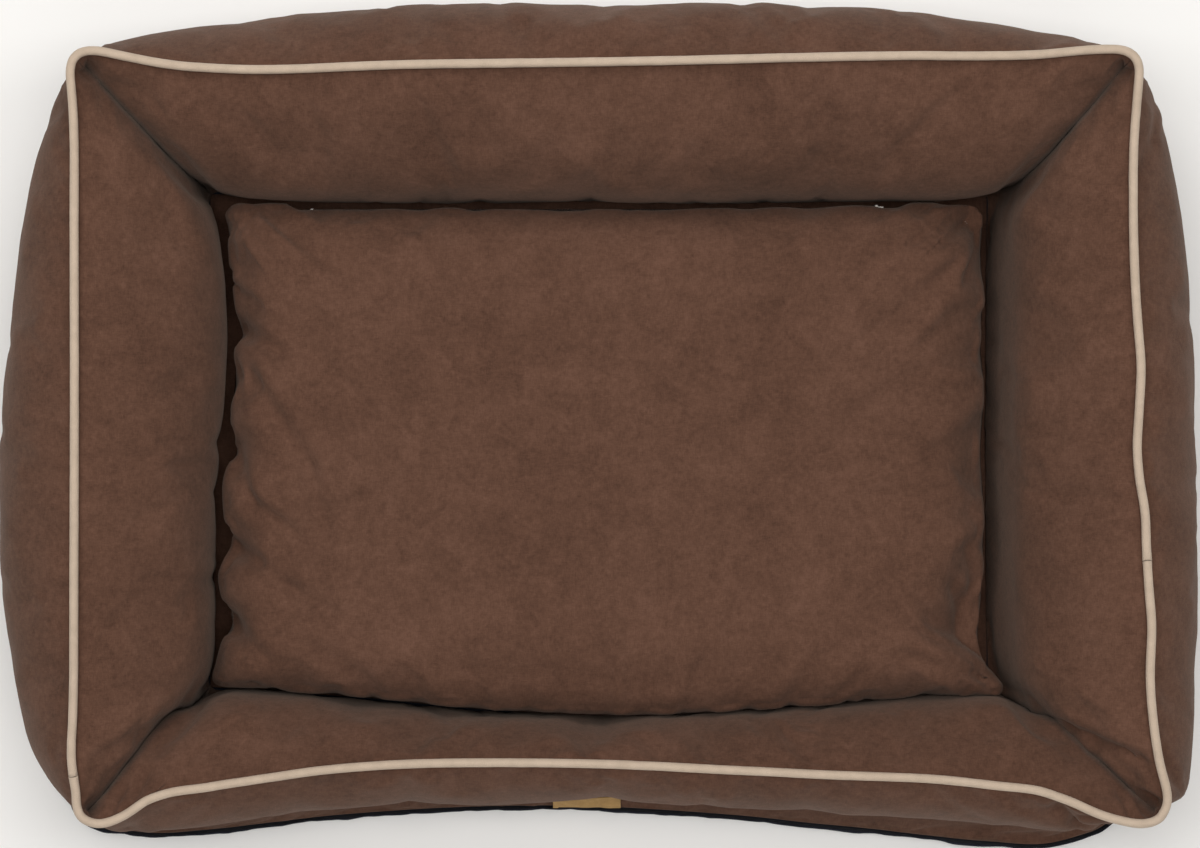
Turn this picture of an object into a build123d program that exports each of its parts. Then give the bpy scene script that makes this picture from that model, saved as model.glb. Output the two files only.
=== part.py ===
"""Pet cushion bed: four stuffed bolsters sewn into a ring round a loose cushion, with a piped top edge.

Millimetres, +Z up. The origin is on the floor at the middle of the bed's box, +X points to the bed's right
and -Y to its front, where the bolster dips so that the animal can step in.
"""

import math
import os
from dataclasses import dataclass

from build123d import *

# Overall size
BED_LENGTH = 1000.0  # X, over the fullest part of the side bolsters
BED_DEPTH = 700.0  # Y, from the front bolster to the fullest part of the back one
BED_HEIGHT = 200.0  # Z, to the top of the piping

# Sewn layers and the clearances between them
WALL = 1.5  # cover fabric with its backing
BASE_THICKNESS = 2.0  # hard-wearing base fabric
LINING_THICKNESS = 1.2
RIM_MARGIN = 0.7  # from the foot zip's tapes to the floor of the base and to the top of its rim
FIT = 0.4  # between a stuffed roll and the fabric round it
SEAM_GAP = 0.3  # between two pieces of fabric at a seam

# Piping
PIPING_RADIUS = 3.6
PIPING_COVER = 0.7  # thickness of the bias strip round the filler cord
CORD_CLEARANCE = 0.3
PIPING_SEAT = 0.8  # from the ridge of the cover to the underside of the piping
CORNER_TANGENT = 22.0  # where the piping starts to turn, before each corner
LEFT_JOIN = 36.0  # the bias strip's joins, measured back from the front corners
RIGHT_JOIN = 208.0

# Bolster cross-sections, as distances out from the straight ridge line and heights above the floor
SEAM_OUT = 30.0  # foot seam of the outer walls
SEAM_IN = 88.0  # foot seam of the inner walls
CORNER_OUT = 34.0  # fullness at the mitred corners, where the seams hold it in
CORNER_IN = 98.0
SIDE_OUT = 77.0  # fullness at the middle of the left and right bolsters
SIDE_IN = 104.0
BACK_OUT = 62.0
BACK_IN = 102.0
OUTER_FULL_HEIGHT = 85.0
INNER_FULL_HEIGHT = 95.0
FRONT_BOW = 42.0  # the front ridge leans in by this much at its middle
FRONT_DIP = 32.0  # and is this much lower there
FRONT_OUT = 13.0
FRONT_FULL_HEIGHT = 36.0
FRONT_IN = 73.0
FRONT_INNER_FULL_HEIGHT = 75.0
FRONT_SEAM_OUT = 12.0
FRONT_SEAM_IN = 64.0

# Shape of each curve in a section, from the upright fullest point to its nearly level end
CURVE_FULLNESS = 0.55  # how far each end keeps its direction, as a share of the curve's height or width
END_SLOPE = 0.10  # rise of the level end over that length, as a share of the curve's height
RIDGE_INSET = 1.1  # a layer's inset at the ridge, as a share of its inset elsewhere
INNER_FOOT_INSET = 1.4  # and at the foot of the inner walls, which slope

# Cushion
CUSHION_THICKNESS = 108.0
CUSHION_EDGE_RADIUS = 48.0
CUSHION_CORNER_RADIUS = 60.0
CUSHION_SIDE_GAP = 3.0  # to the fullest part of the side bolsters
CUSHION_BACK_GAP = 6.0  # room for the zip slider behind the cushion
CUSHION_FRONT_GAP = 3.0
CUSHION_WALL = 1.5

# Zips
CHAIN_WIDTH = 5.2
CHAIN_THICKNESS = 2.0
CHAIN_EDGE_RADIUS = 0.9
TAPE_THICKNESS = 1.2
ZIP_WIDTH = 10.6  # both tapes together
FOOT_ZIP_LENGTH = 600.0
CUSHION_ZIP_LENGTH = 480.0
STOP_LENGTH = 2.4
SLIDER_LENGTH = 11.0
SLIDER_CLEARANCE = 0.3
SLIDER_FLANGE = 1.3
SLIDER_PLATE = 1.4
PULL_LENGTH = 24.0
PULL_WIDTH = 6.4
PULL_END_RADIUS = 3.0
PULL_THICKNESS = 1.0
PULL_CORNER_RADIUS = 1.7
PIN_RADIUS = 0.8  # upright pin of the foot slider
PIN_CLEARANCE = 0.08
LUG_RADIUS = 1.8  # half the depth of the lugs that hold the pin
STUD_RADIUS = 1.6  # stud of the cushion slider
STUD_HEAD_RADIUS = 2.4
STUD_HEAD_THICKNESS = 0.4

# Woven label on the front wall
LABEL_LENGTH = 58.0
LABEL_HEIGHT = 17.0
LABEL_THICKNESS = 0.8
LABEL_CENTRE_X = -10.0

# What follows from the sizes above
RIM_HEIGHT = BASE_THICKNESS + ZIP_WIDTH + 2 * RIM_MARGIN  # the base fabric's turned-up rim
RIDGE_HEIGHT = BED_HEIGHT - 2 * PIPING_RADIUS - PIPING_SEAT
RIDGE_X = BED_LENGTH / 2 - SIDE_OUT
BACK_RIDGE_Y = BED_DEPTH / 2 - BACK_OUT
FRONT_RIDGE_Y = -BED_DEPTH / 2 + CORNER_OUT
FILL_FLOOR = BASE_THICKNESS + SEAM_GAP
CUSHION_FLOOR = BASE_THICKNESS + LINING_THICKNESS + SEAM_GAP
DIAGONAL = math.sqrt(2)


@dataclass
class Profile:
    """A bolster's cross-section: distance out from the ridge line and height of each turning point."""

    ridge: tuple
    outer: tuple
    inner: tuple
    outer_seam: float = SEAM_OUT
    inner_seam: float = -SEAM_IN


@dataclass
class Side:
    """One side of the ring: its outward direction, its two corners and the profile at its middle."""

    name: str
    outward: Vector
    start: Vector
    end: Vector
    middle: Profile


CORNER_PROFILE = Profile(
    ridge=(0.0, RIDGE_HEIGHT),
    outer=(CORNER_OUT, OUTER_FULL_HEIGHT),
    inner=(-CORNER_IN, INNER_FULL_HEIGHT),
)
SIDE_PROFILE = Profile(
    ridge=(0.0, RIDGE_HEIGHT),
    outer=(SIDE_OUT, OUTER_FULL_HEIGHT),
    inner=(-SIDE_IN, INNER_FULL_HEIGHT),
)
BACK_PROFILE = Profile(
    ridge=(0.0, RIDGE_HEIGHT),
    outer=(BACK_OUT, OUTER_FULL_HEIGHT),
    inner=(-BACK_IN, INNER_FULL_HEIGHT),
)
FRONT_PROFILE = Profile(
    ridge=(-FRONT_BOW, RIDGE_HEIGHT - FRONT_DIP),
    outer=(FRONT_OUT, FRONT_FULL_HEIGHT),
    inner=(-FRONT_IN, FRONT_INNER_FULL_HEIGHT),
    outer_seam=FRONT_SEAM_OUT,
    inner_seam=-FRONT_SEAM_IN,
)

FRONT_LEFT = Vector(-RIDGE_X, FRONT_RIDGE_Y, 0)
FRONT_RIGHT = Vector(RIDGE_X, FRONT_RIDGE_Y, 0)
BACK_LEFT = Vector(-RIDGE_X, BACK_RIDGE_Y, 0)
BACK_RIGHT = Vector(RIDGE_X, BACK_RIDGE_Y, 0)

SIDES = [
    Side("front", Vector(0, -1, 0), FRONT_LEFT, FRONT_RIGHT, FRONT_PROFILE),
    Side("right", Vector(1, 0, 0), FRONT_RIGHT, BACK_RIGHT, SIDE_PROFILE),
    Side("back", Vector(0, 1, 0), BACK_RIGHT, BACK_LEFT, BACK_PROFILE),
    Side("left", Vector(-1, 0, 0), BACK_LEFT, FRONT_LEFT, SIDE_PROFILE),
]


def section_plane(origin, outward):
    """An upright plane whose x runs outward and whose y runs up."""
    return Plane(origin=origin, x_dir=outward, z_dir=outward.cross(Vector(0, 0, 1)))


def side_sections(side, outline):
    """The three faces that a layer of one side is lofted through: mitre, middle, mitre.

    A section is longer across the mitre than square to the roll, which is what stretch allows for.
    """
    along = (side.end - side.start).normalized()
    start_mitre = section_plane(side.start, (side.outward - along).normalized())
    end_mitre = section_plane(side.end, (side.outward + along).normalized())
    middle = section_plane((side.start + side.end) / 2, side.outward)
    return [
        outline(start_mitre, CORNER_PROFILE, DIAGONAL),
        outline(middle, side.middle, 1.0),
        outline(end_mitre, CORNER_PROFILE, DIAGONAL),
    ]


def end_handle(full, end):
    """From the end of a curve back to its second handle."""
    return (CURVE_FULLNESS * (full[0] - end[0]), END_SLOPE * (full[1] - end[1]))


def draw_curve(full, end, stretch):
    """In the current line, a curve that leaves the fullest point upright and arrives nearly level."""
    back = end_handle(full, end)
    points = [
        full,
        (full[0], full[1] + CURVE_FULLNESS * (end[1] - full[1])),
        (end[0] + back[0], end[1] + back[1]),
        end,
    ]
    Bezier(*[(stretch * out, up) for out, up in points])


def draw_line(start, end, stretch):
    Line((stretch * start[0], start[1]), (stretch * end[0], end[1]))


def moved_in(full, end, inset):
    """The end of a curve moved square to the fabric, towards the stuffing."""
    back = end_handle(full, end)
    length = math.hypot(*back)
    sideways = math.copysign(abs(back[1]) / length, end[0] - full[0])
    upward = math.copysign(abs(back[0]) / length, full[1] - end[1])
    return (end[0] + sideways * inset, end[1] + upward * inset)


def roll_outline(plane, profile, stretch):
    """The section of a stuffed roll, inside the fabric."""
    inset = WALL + FIT
    outer = (profile.outer[0] - inset, profile.outer[1])
    inner = (profile.inner[0] + inset, profile.inner[1])
    ridge = (profile.ridge[0], profile.ridge[1] - RIDGE_INSET * inset)
    rim_seam = (profile.outer_seam, RIM_HEIGHT + SEAM_GAP)
    foot = (profile.outer_seam - inset, FILL_FLOOR)
    rim = (foot[0], moved_in(profile.outer, rim_seam, inset)[1])
    seam = (profile.inner_seam + INNER_FOOT_INSET * inset, FILL_FLOOR)
    with BuildSketch(plane) as face:
        with BuildLine():
            draw_line(foot, rim, stretch)
            draw_curve(outer, rim, stretch)
            draw_curve(outer, ridge, stretch)
            draw_curve(inner, ridge, stretch)
            draw_curve(inner, seam, stretch)
            draw_line(seam, foot, stretch)
        make_face()
    return face.sketch


def wall_outline(plane, full, seam, ridge, stretch):
    """The section of one wall: a strip from its foot seam past its fullest point up to the ridge."""
    full_inside = (full[0] + math.copysign(WALL, ridge[0] - full[0]), full[1])
    seam_inside = moved_in(full, seam, WALL)
    ridge_inside = (ridge[0], ridge[1] - RIDGE_INSET * WALL)
    with BuildSketch(plane) as face:
        with BuildLine():
            draw_curve(full, seam, stretch)
            draw_curve(full, ridge, stretch)
            draw_line(ridge, ridge_inside, stretch)
            draw_curve(full_inside, ridge_inside, stretch)
            draw_curve(full_inside, seam_inside, stretch)
            draw_line(seam_inside, seam, stretch)
        make_face()
    return face.sketch


def outer_wall_outline(plane, profile, stretch):
    seam = (profile.outer_seam, RIM_HEIGHT + SEAM_GAP)
    ridge = (profile.ridge[0] + SEAM_GAP / 2, profile.ridge[1])
    return wall_outline(plane, profile.outer, seam, ridge, stretch)


def inner_wall_outline(plane, profile, stretch):
    seam = (profile.inner_seam, FILL_FLOOR)
    ridge = (profile.ridge[0] - SEAM_GAP / 2, profile.ridge[1])
    return wall_outline(plane, profile.inner, seam, ridge, stretch)


def lofted(side, outline, name):
    """One layer of one side of the ring."""
    with BuildPart() as layer:
        loft(sections=side_sections(side, outline))
    layer.part.label = name
    return layer.part


def bowed_outline(half, front, back, bow):
    """A rectangle from front to back whose front edge bows in."""
    with BuildSketch(Plane.XY) as outline:
        with BuildLine():
            Polyline((-half, front), (-half, back), (half, back), (half, front))
            ThreePointArc((half, front), (0, front + bow), (-half, front))
        make_face()
    return outline.sketch


def foot_outline(inset):
    """The outline of the foot seam round the whole bed."""
    half = RIDGE_X + SEAM_OUT - inset
    front = FRONT_RIDGE_Y - SEAM_OUT + inset
    back = BACK_RIDGE_Y + SEAM_OUT - inset
    return bowed_outline(half, front, back, SEAM_OUT - FRONT_SEAM_OUT)


def floor_outline(inset):
    """The floor inside the ring, up to the inner walls' foot seams."""
    half = RIDGE_X - SEAM_IN - inset
    front = FRONT_RIDGE_Y + SEAM_IN + inset
    back = BACK_RIDGE_Y - SEAM_IN - inset
    return bowed_outline(half, front, back, FRONT_SEAM_IN - SEAM_IN)


def make_base_panel():
    """Dark base fabric with a low turned-up rim. The rim is open where the foot zip sits."""
    opening = FOOT_ZIP_LENGTH + 2 * (STOP_LENGTH + 2 * SEAM_GAP)
    with BuildPart() as panel:
        with BuildSketch():
            add(foot_outline(0))
        extrude(amount=BASE_THICKNESS)
        with BuildSketch(Plane.XY.offset(BASE_THICKNESS)):
            add(foot_outline(0))
            add(foot_outline(WALL), mode=Mode.SUBTRACT)
        extrude(amount=RIM_HEIGHT - BASE_THICKNESS)
        with BuildSketch(Plane.XY.offset(BASE_THICKNESS)):
            with Locations((0, BACK_RIDGE_Y + SEAM_OUT)):
                Rectangle(opening, 4 * WALL)
        extrude(amount=RIM_HEIGHT, mode=Mode.SUBTRACT)
    return panel.part


def make_floor_lining():
    with BuildPart() as lining:
        with BuildSketch(Plane.XY.offset(BASE_THICKNESS)):
            add(floor_outline(3 * SEAM_GAP))
        extrude(amount=LINING_THICKNESS)
    return lining.part


def piping_height():
    return RIDGE_HEIGHT + PIPING_SEAT + PIPING_RADIUS


def rear_piping_path():
    """Up the left side, across the back and down the right side, between the bias strip's two joins."""
    z = Vector(0, 0, piping_height())
    with BuildLine() as path:
        FilletPolyline(
            FRONT_LEFT + Vector(0, LEFT_JOIN, 0) + z,
            BACK_LEFT + z,
            BACK_RIGHT + z,
            FRONT_RIGHT + Vector(0, RIGHT_JOIN, 0) + z,
            radius=CORNER_TANGENT,
        )
    return path.wire()


def front_piping_path():
    """From the left join round the front, following the dip of the front ridge, to the right join.

    The front is one arc that is tangent to both corner arcs. Its half tangent angle follows from the sag.
    """
    z = Vector(0, 0, piping_height())
    sag = Vector(0, FRONT_BOW, -FRONT_DIP)
    angle = 2 * math.atan(sag.length / (RIDGE_X + CORNER_TANGENT))
    drop = sag.normalized() * math.sin(angle)
    right_going = Vector(math.cos(angle), 0, 0) + drop
    left_going = Vector(-math.cos(angle), 0, 0) + drop
    back = Vector(0, CORNER_TANGENT, 0)
    left_turn = FRONT_LEFT + back + z
    right_turn = FRONT_RIGHT + back + z
    left_front = FRONT_LEFT + right_going * CORNER_TANGENT + z
    right_front = FRONT_RIGHT + left_going * CORNER_TANGENT + z
    with BuildLine() as path:
        Line(FRONT_LEFT + Vector(0, LEFT_JOIN, 0) + z, left_turn)
        TangentArc(left_turn, left_front, tangent=(0, -1, 0))
        TangentArc(left_front, right_front, tangent=right_going)
        TangentArc(right_turn, right_front, tangent=(0, -1, 0))
        Line(right_turn, FRONT_RIGHT + Vector(0, RIGHT_JOIN, 0) + z)
    return path.wire()


def swept_round(path, radius, bore, name):
    """A round bar, or a tube where bore is over 0, along a path."""
    with BuildPart() as bar:
        with BuildSketch(Plane(origin=path @ 0, z_dir=path % 0)):
            Circle(radius)
            if bore > 0:
                Circle(bore, mode=Mode.SUBTRACT)
        sweep(path=path)
    bar.part.label = name
    return bar.part


def cushion_back_y():
    """The back face of the cushion."""
    return BACK_RIDGE_Y - BACK_IN - CUSHION_BACK_GAP


def cushion_seam_z():
    """The height of the seam round the cushion's edge."""
    return CUSHION_FLOOR + CUSHION_THICKNESS / 2


def cushion_outline(inset):
    """The cushion's outline at its edge seam, where its front edge bows like the front bolster."""
    half = RIDGE_X - SIDE_IN - CUSHION_SIDE_GAP - inset
    front = FRONT_RIDGE_Y + CORNER_IN + CUSHION_FRONT_GAP + inset
    with BuildSketch(Plane.XY) as outline:
        add(bowed_outline(half, front, cushion_back_y() - inset, FRONT_IN - CORNER_IN))
        fillet(outline.vertices(), CUSHION_CORNER_RADIUS - inset)
    return outline.sketch


def rounded_slab(inset):
    """The cushion's rounded form, inset all over."""
    with BuildPart() as slab:
        with BuildSketch(Plane.XY.offset(CUSHION_FLOOR + inset)):
            add(cushion_outline(inset))
        extrude(amount=CUSHION_THICKNESS - 2 * inset)
        flat_faces = slab.faces().filter_by(Axis.Z)
        fillet(flat_faces.edges(), CUSHION_EDGE_RADIUS - inset)
    return slab.part


def make_cushion_shell(top):
    """One half of the cushion's cover, above or below its edge seam, with a notch for the zip at the back."""
    seam = cushion_seam_z()
    side = 1 if top else -1
    notch = CUSHION_ZIP_LENGTH + 2 * (STOP_LENGTH + 2 * SEAM_GAP)
    with BuildPart() as shell:
        add(rounded_slab(0))
        add(rounded_slab(CUSHION_WALL), mode=Mode.SUBTRACT)
        split(bisect_by=Plane.XY.offset(seam + side * SEAM_GAP / 2), keep=Keep.TOP if top else Keep.BOTTOM)
        with Locations((0, cushion_back_y(), seam)):
            Box(notch, 4 * CUSHION_WALL, ZIP_WIDTH + 2 * SEAM_GAP, mode=Mode.SUBTRACT)
    return shell.part


@dataclass
class Zip:
    """A straight zip along X whose tapes lie in an upright face at y and whose chain is at height z."""

    name: str
    y: float
    z: float
    length: float

    def rest_x(self):
        """The middle of the slider at the closed end of the zip."""
        return self.length / 2 - SLIDER_LENGTH / 2 - SLIDER_CLEARANCE

    def slider_face(self):
        """The y of the slider's outer face."""
        return self.y + CHAIN_THICKNESS + SLIDER_CLEARANCE + SLIDER_PLATE


# Half the height of the slider's channel, and of the slider itself
CHANNEL_REACH = CHAIN_WIDTH / 2 + SLIDER_CLEARANCE
SLIDER_REACH = CHANNEL_REACH + SLIDER_FLANGE


def tape_face(cover_face, wall):
    """The outer face of tapes that lie against the stuffing where a cover is open."""
    return cover_face - wall - FIT + SEAM_GAP + TAPE_THICKNESS


def box_between(low, high):
    """A box in the current part between two corners, whose order doesn't matter on any axis."""
    size = Vector(*high) - Vector(*low)
    with Locations((Vector(*low) + Vector(*high)) / 2):
        Box(abs(size.X), abs(size.Y), abs(size.Z))


def make_zip_tapes(zipper):
    """The two woven tapes, one above and one below the middle of the chain."""
    half = zipper.length / 2 + STOP_LENGTH
    with BuildPart() as tapes:
        for side in (-1, 1):
            box_between(
                (-half, zipper.y - TAPE_THICKNESS, zipper.z + side * SEAM_GAP / 2),
                (half, zipper.y, zipper.z + side * ZIP_WIDTH / 2),
            )
    tapes.part.label = zipper.name + "_tape"
    return tapes.part


def make_zip_coil(zipper):
    """The closed chain, a slim bar with rounded long edges."""
    with BuildPart() as coil:
        box_between(
            (-zipper.length / 2, zipper.y, zipper.z - CHAIN_WIDTH / 2),
            (zipper.length / 2, zipper.y + CHAIN_THICKNESS, zipper.z + CHAIN_WIDTH / 2),
        )
        outer_face = coil.faces().sort_by(Axis.Y)[-1]
        fillet(outer_face.edges().filter_by(Axis.X), CHAIN_EDGE_RADIUS)
    coil.part.label = zipper.name + "_coil"
    return coil.part


def make_zip_stops(zipper):
    """The two end stops, just past the chain."""
    near = zipper.length / 2 + SEAM_GAP / 2
    far = zipper.length / 2 + STOP_LENGTH
    with BuildPart() as stops:
        for side in (-1, 1):
            box_between(
                (side * near, zipper.y, zipper.z - CHAIN_WIDTH / 2),
                (side * far, zipper.y + CHAIN_THICKNESS, zipper.z + CHAIN_WIDTH / 2),
            )
    stops.part.label = zipper.name + "_stops"
    return stops.part


def slider_channel(zipper):
    """The slider's plate and its two flanges, which straddle the chain from outside, in the current part."""
    x = zipper.rest_x()
    start, end = x - SLIDER_LENGTH / 2, x + SLIDER_LENGTH / 2
    lip = zipper.y + SLIDER_CLEARANCE
    face = zipper.slider_face()
    plate = face - SLIDER_PLATE
    box_between((start, plate, zipper.z - SLIDER_REACH), (end, face, zipper.z + SLIDER_REACH))
    for side in (-1, 1):
        box_between(
            (start, lip, zipper.z + side * CHANNEL_REACH),
            (end, plate, zipper.z + side * SLIDER_REACH),
        )


def make_foot_slider(zipper):
    """Slider whose pull turns about an upright pin between two lugs."""
    x = zipper.rest_x()
    face = zipper.slider_face()
    with BuildPart() as slider:
        slider_channel(zipper)
        for side in (-1, 1):
            box_between(
                (x - LUG_RADIUS, face, zipper.z + side * CHANNEL_REACH),
                (x + LUG_RADIUS, face + 2 * LUG_RADIUS, zipper.z + side * SLIDER_REACH),
            )
        with Locations((x, face + LUG_RADIUS, zipper.z)):
            Cylinder(PIN_RADIUS, CHANNEL_REACH + SLIDER_REACH)
    slider.part.label = zipper.name + "_slider"
    return slider.part


def make_foot_pull(zipper):
    """Pull tab with an eye round the slider's upright pin, lying back along the chain."""
    height = 2 * (CHANNEL_REACH - SLIDER_CLEARANCE)
    x = zipper.rest_x()
    y = zipper.slider_face() + LUG_RADIUS
    with BuildPart() as pull:
        with Locations((x, y, zipper.z)):
            Cylinder(LUG_RADIUS - SLIDER_CLEARANCE, height)
        box_between(
            (x - PULL_LENGTH, y - PULL_THICKNESS / 2, zipper.z - height / 2),
            (x, y + PULL_THICKNESS / 2, zipper.z + height / 2),
        )
        end_corners = pull.edges().filter_by(Axis.Y).group_by(Axis.X)[0]
        fillet(end_corners, PULL_CORNER_RADIUS)
        with Locations((x, y, zipper.z)):
            Cylinder(PIN_RADIUS + PIN_CLEARANCE, 2 * height, mode=Mode.SUBTRACT)
    pull.part.label = zipper.name + "_pull"
    return pull.part


def make_cushion_slider(zipper):
    """Slider whose pull hangs from a headed stud that stands out of its face."""
    face = Plane(origin=(zipper.rest_x(), zipper.slider_face(), zipper.z), z_dir=(0, 1, 0))
    stud_length = PULL_THICKNESS + 2 * PIN_CLEARANCE
    with BuildPart() as slider:
        slider_channel(zipper)
        with BuildSketch(face):
            Circle(STUD_RADIUS)
        extrude(amount=stud_length)
        with BuildSketch(face.offset(stud_length)):
            Circle(STUD_HEAD_RADIUS)
        extrude(amount=STUD_HEAD_THICKNESS)
    slider.part.label = zipper.name + "_slider"
    return slider.part


def make_cushion_pull(zipper):
    """Flat pull tab that hangs straight down from the slider's stud."""
    face_y = zipper.slider_face() + PIN_CLEARANCE
    face = Plane(origin=(zipper.rest_x(), face_y, zipper.z), x_dir=(1, 0, 0), z_dir=(0, 1, 0))
    with BuildPart() as pull:
        with BuildSketch(face):
            with Locations((0, (PULL_LENGTH - PULL_WIDTH) / 2)):
                RectangleRounded(PULL_WIDTH, PULL_LENGTH, PULL_END_RADIUS)
            Circle(STUD_RADIUS + PIN_CLEARANCE, mode=Mode.SUBTRACT)
        extrude(amount=PULL_THICKNESS)
    pull.part.label = zipper.name + "_pull"
    return pull.part


def make_label():
    """Blank woven label on the front wall, just above the foot seam."""
    face_y = FRONT_RIDGE_Y - FRONT_OUT - 2 * SEAM_GAP
    with BuildPart() as label:
        box_between(
            (LABEL_CENTRE_X - LABEL_LENGTH / 2, face_y - LABEL_THICKNESS, RIM_HEIGHT + SEAM_GAP),
            (LABEL_CENTRE_X + LABEL_LENGTH / 2, face_y, RIM_HEIGHT + SEAM_GAP + LABEL_HEIGHT),
        )
    return label.part


def make_zip(zipper, make_slider, make_pull):
    return [
        make_zip_tapes(zipper),
        make_zip_coil(zipper),
        make_zip_stops(zipper),
        make_slider(zipper),
        make_pull(zipper),
    ]


def labelled(part, name):
    part.label = name
    return part


def make_ring():
    """The four bolsters, each a stuffed roll between an outer and an inner wall."""
    pieces = []
    for side in SIDES:
        pieces.append(lofted(side, roll_outline, "bolster_roll_" + side.name))
        pieces.append(lofted(side, outer_wall_outline, "outer_wall_" + side.name))
        pieces.append(lofted(side, inner_wall_outline, "inner_wall_" + side.name))
    return pieces


def make_piping():
    rear, front = rear_piping_path(), front_piping_path()
    bore = PIPING_RADIUS - PIPING_COVER
    return [
        swept_round(rear, PIPING_RADIUS, bore, "piping_cover_rear"),
        swept_round(front, PIPING_RADIUS, bore, "piping_cover_front"),
        swept_round(rear, bore - CORD_CLEARANCE, 0, "piping_cord_rear"),
        swept_round(front, bore - CORD_CLEARANCE, 0, "piping_cord_front"),
    ]


def make_cushion():
    return [
        labelled(make_cushion_shell(top=True), "cushion_top_cover"),
        labelled(make_cushion_shell(top=False), "cushion_bottom_cover"),
        labelled(rounded_slab(CUSHION_WALL + FIT), "cushion_filling"),
    ]


def main():
    foot_zip = Zip(
        name="foot_zip",
        y=tape_face(BACK_RIDGE_Y + SEAM_OUT, WALL),
        z=(BASE_THICKNESS + RIM_HEIGHT) / 2,
        length=FOOT_ZIP_LENGTH,
    )
    cushion_zip = Zip(
        name="cushion_zip",
        y=tape_face(cushion_back_y(), CUSHION_WALL),
        z=cushion_seam_z(),
        length=CUSHION_ZIP_LENGTH,
    )
    pieces = [
        labelled(make_base_panel(), "base_panel"),
        labelled(make_floor_lining(), "floor_lining"),
        labelled(make_label(), "woven_label"),
    ]
    pieces += make_ring()
    pieces += make_piping()
    pieces += make_cushion()
    pieces += make_zip(foot_zip, make_foot_slider, make_foot_pull)
    pieces += make_zip(cushion_zip, make_cushion_slider, make_cushion_pull)
    os.makedirs("parts", exist_ok=True)
    for piece in pieces:
        export_step(piece, f"parts/{piece.label}.step")


main()
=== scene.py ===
import math

import bpy
import numpy as np
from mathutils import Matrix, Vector
from mathutils.bvhtree import BVHTree


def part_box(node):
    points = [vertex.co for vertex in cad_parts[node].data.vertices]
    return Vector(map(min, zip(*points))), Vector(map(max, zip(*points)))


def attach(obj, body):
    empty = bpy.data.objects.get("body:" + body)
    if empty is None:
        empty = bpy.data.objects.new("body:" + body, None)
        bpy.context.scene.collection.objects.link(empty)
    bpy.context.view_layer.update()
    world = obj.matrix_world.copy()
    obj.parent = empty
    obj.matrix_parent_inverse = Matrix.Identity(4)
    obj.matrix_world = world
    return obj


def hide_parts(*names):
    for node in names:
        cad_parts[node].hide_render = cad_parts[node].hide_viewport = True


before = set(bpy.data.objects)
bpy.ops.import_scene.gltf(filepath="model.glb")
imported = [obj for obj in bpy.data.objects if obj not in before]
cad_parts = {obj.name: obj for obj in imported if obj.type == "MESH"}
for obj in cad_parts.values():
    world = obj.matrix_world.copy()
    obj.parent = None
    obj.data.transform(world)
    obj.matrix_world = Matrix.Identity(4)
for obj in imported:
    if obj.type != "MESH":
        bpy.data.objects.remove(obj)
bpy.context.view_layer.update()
SCENE = bpy.context.scene
SCENE.view_settings.view_transform = "Standard"

# ---------------------------------------------------------------- camera, floor and light (metres)

CAMERA_PLACE = (0.0013, 0.0004, 2.6)
CAMERA_LENS, CAMERA_SENSOR = 90.5, 36
AIM = np.array((0, 0, 0.1))
SKY_COLOUR, SKY_STRENGTH = (1.0, 0.985, 0.965, 1), 0.3
FLOOR_SIZE, FLOOR_COLOUR, FLOOR_ROUGHNESS = 30, (0.88, 0.875, 0.865, 1), 0.75

# Name, place, size, watts and colour of each softbox
SOFTBOXES = [
    ("back_softbox", (-0.35, 1.5, 2.3), (2.4, 1.2), 28, (1, 0.985, 0.96)),
    ("front_softbox", (0.4, -1.9, 1.9), (2.6, 1.2), 12, (1, 0.98, 0.95)),
    ("overhead_softbox_1", (-0.9, 0.2, 3.1), (0.9, 2.0), 28.5, (1, 0.985, 0.965)),
    ("overhead_softbox_3", (0.9, 0.2, 3.1), (0.9, 2.0), 28.5, (1, 0.985, 0.965)),
]


def add_camera():
    data = bpy.data.cameras.new("overhead_camera")
    data.sensor_width = CAMERA_SENSOR
    data.lens = CAMERA_LENS
    camera = bpy.data.objects.new("overhead_camera", data)
    camera.location = CAMERA_PLACE
    SCENE.collection.objects.link(camera)
    SCENE.camera = camera


def add_light(name, place, size, watts, colour):
    data = bpy.data.lights.new(name, "AREA")
    data.shape = "RECTANGLE"
    data.size, data.size_y = size
    data.energy = watts
    data.color = colour
    lamp = bpy.data.objects.new(name, data)
    lamp.location = place
    lamp.rotation_euler = Vector(np.array(place) - AIM).to_track_quat("Z", "Y").to_euler()
    SCENE.collection.objects.link(lamp)


def add_studio():
    world = bpy.data.worlds.new("studio")
    world.use_nodes = True
    sky = world.node_tree.nodes["Background"].inputs
    sky["Color"].default_value, sky["Strength"].default_value = SKY_COLOUR, SKY_STRENGTH
    SCENE.world = world
    for softbox in SOFTBOXES:
        add_light(*softbox)
    bpy.ops.mesh.primitive_plane_add(size=FLOOR_SIZE)
    floor = bpy.context.object
    floor.name = "studio_floor"
    material = bpy.data.materials.new("studio_floor")
    material.use_nodes = True
    shader = material.node_tree.nodes["Principled BSDF"].inputs
    shader["Base Color"].default_value, shader["Roughness"].default_value = FLOOR_COLOUR, FLOOR_ROUGHNESS
    floor.data.materials.append(material)


add_camera()
add_studio()

# ---------------------------------------------------------------- small numeric tools


def smooth(x):
    x = np.clip(x, 0, 1)
    return x * x * (3 - 2 * x)


def hermite(t, start, end, start_slope, end_slope):
    return ((2 * t**3 - 3 * t**2 + 1) * start + (t**3 - 2 * t**2 + t) * start_slope
            + (-2 * t**3 + 3 * t**2) * end + (t**3 - t**2) * end_slope)


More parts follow.
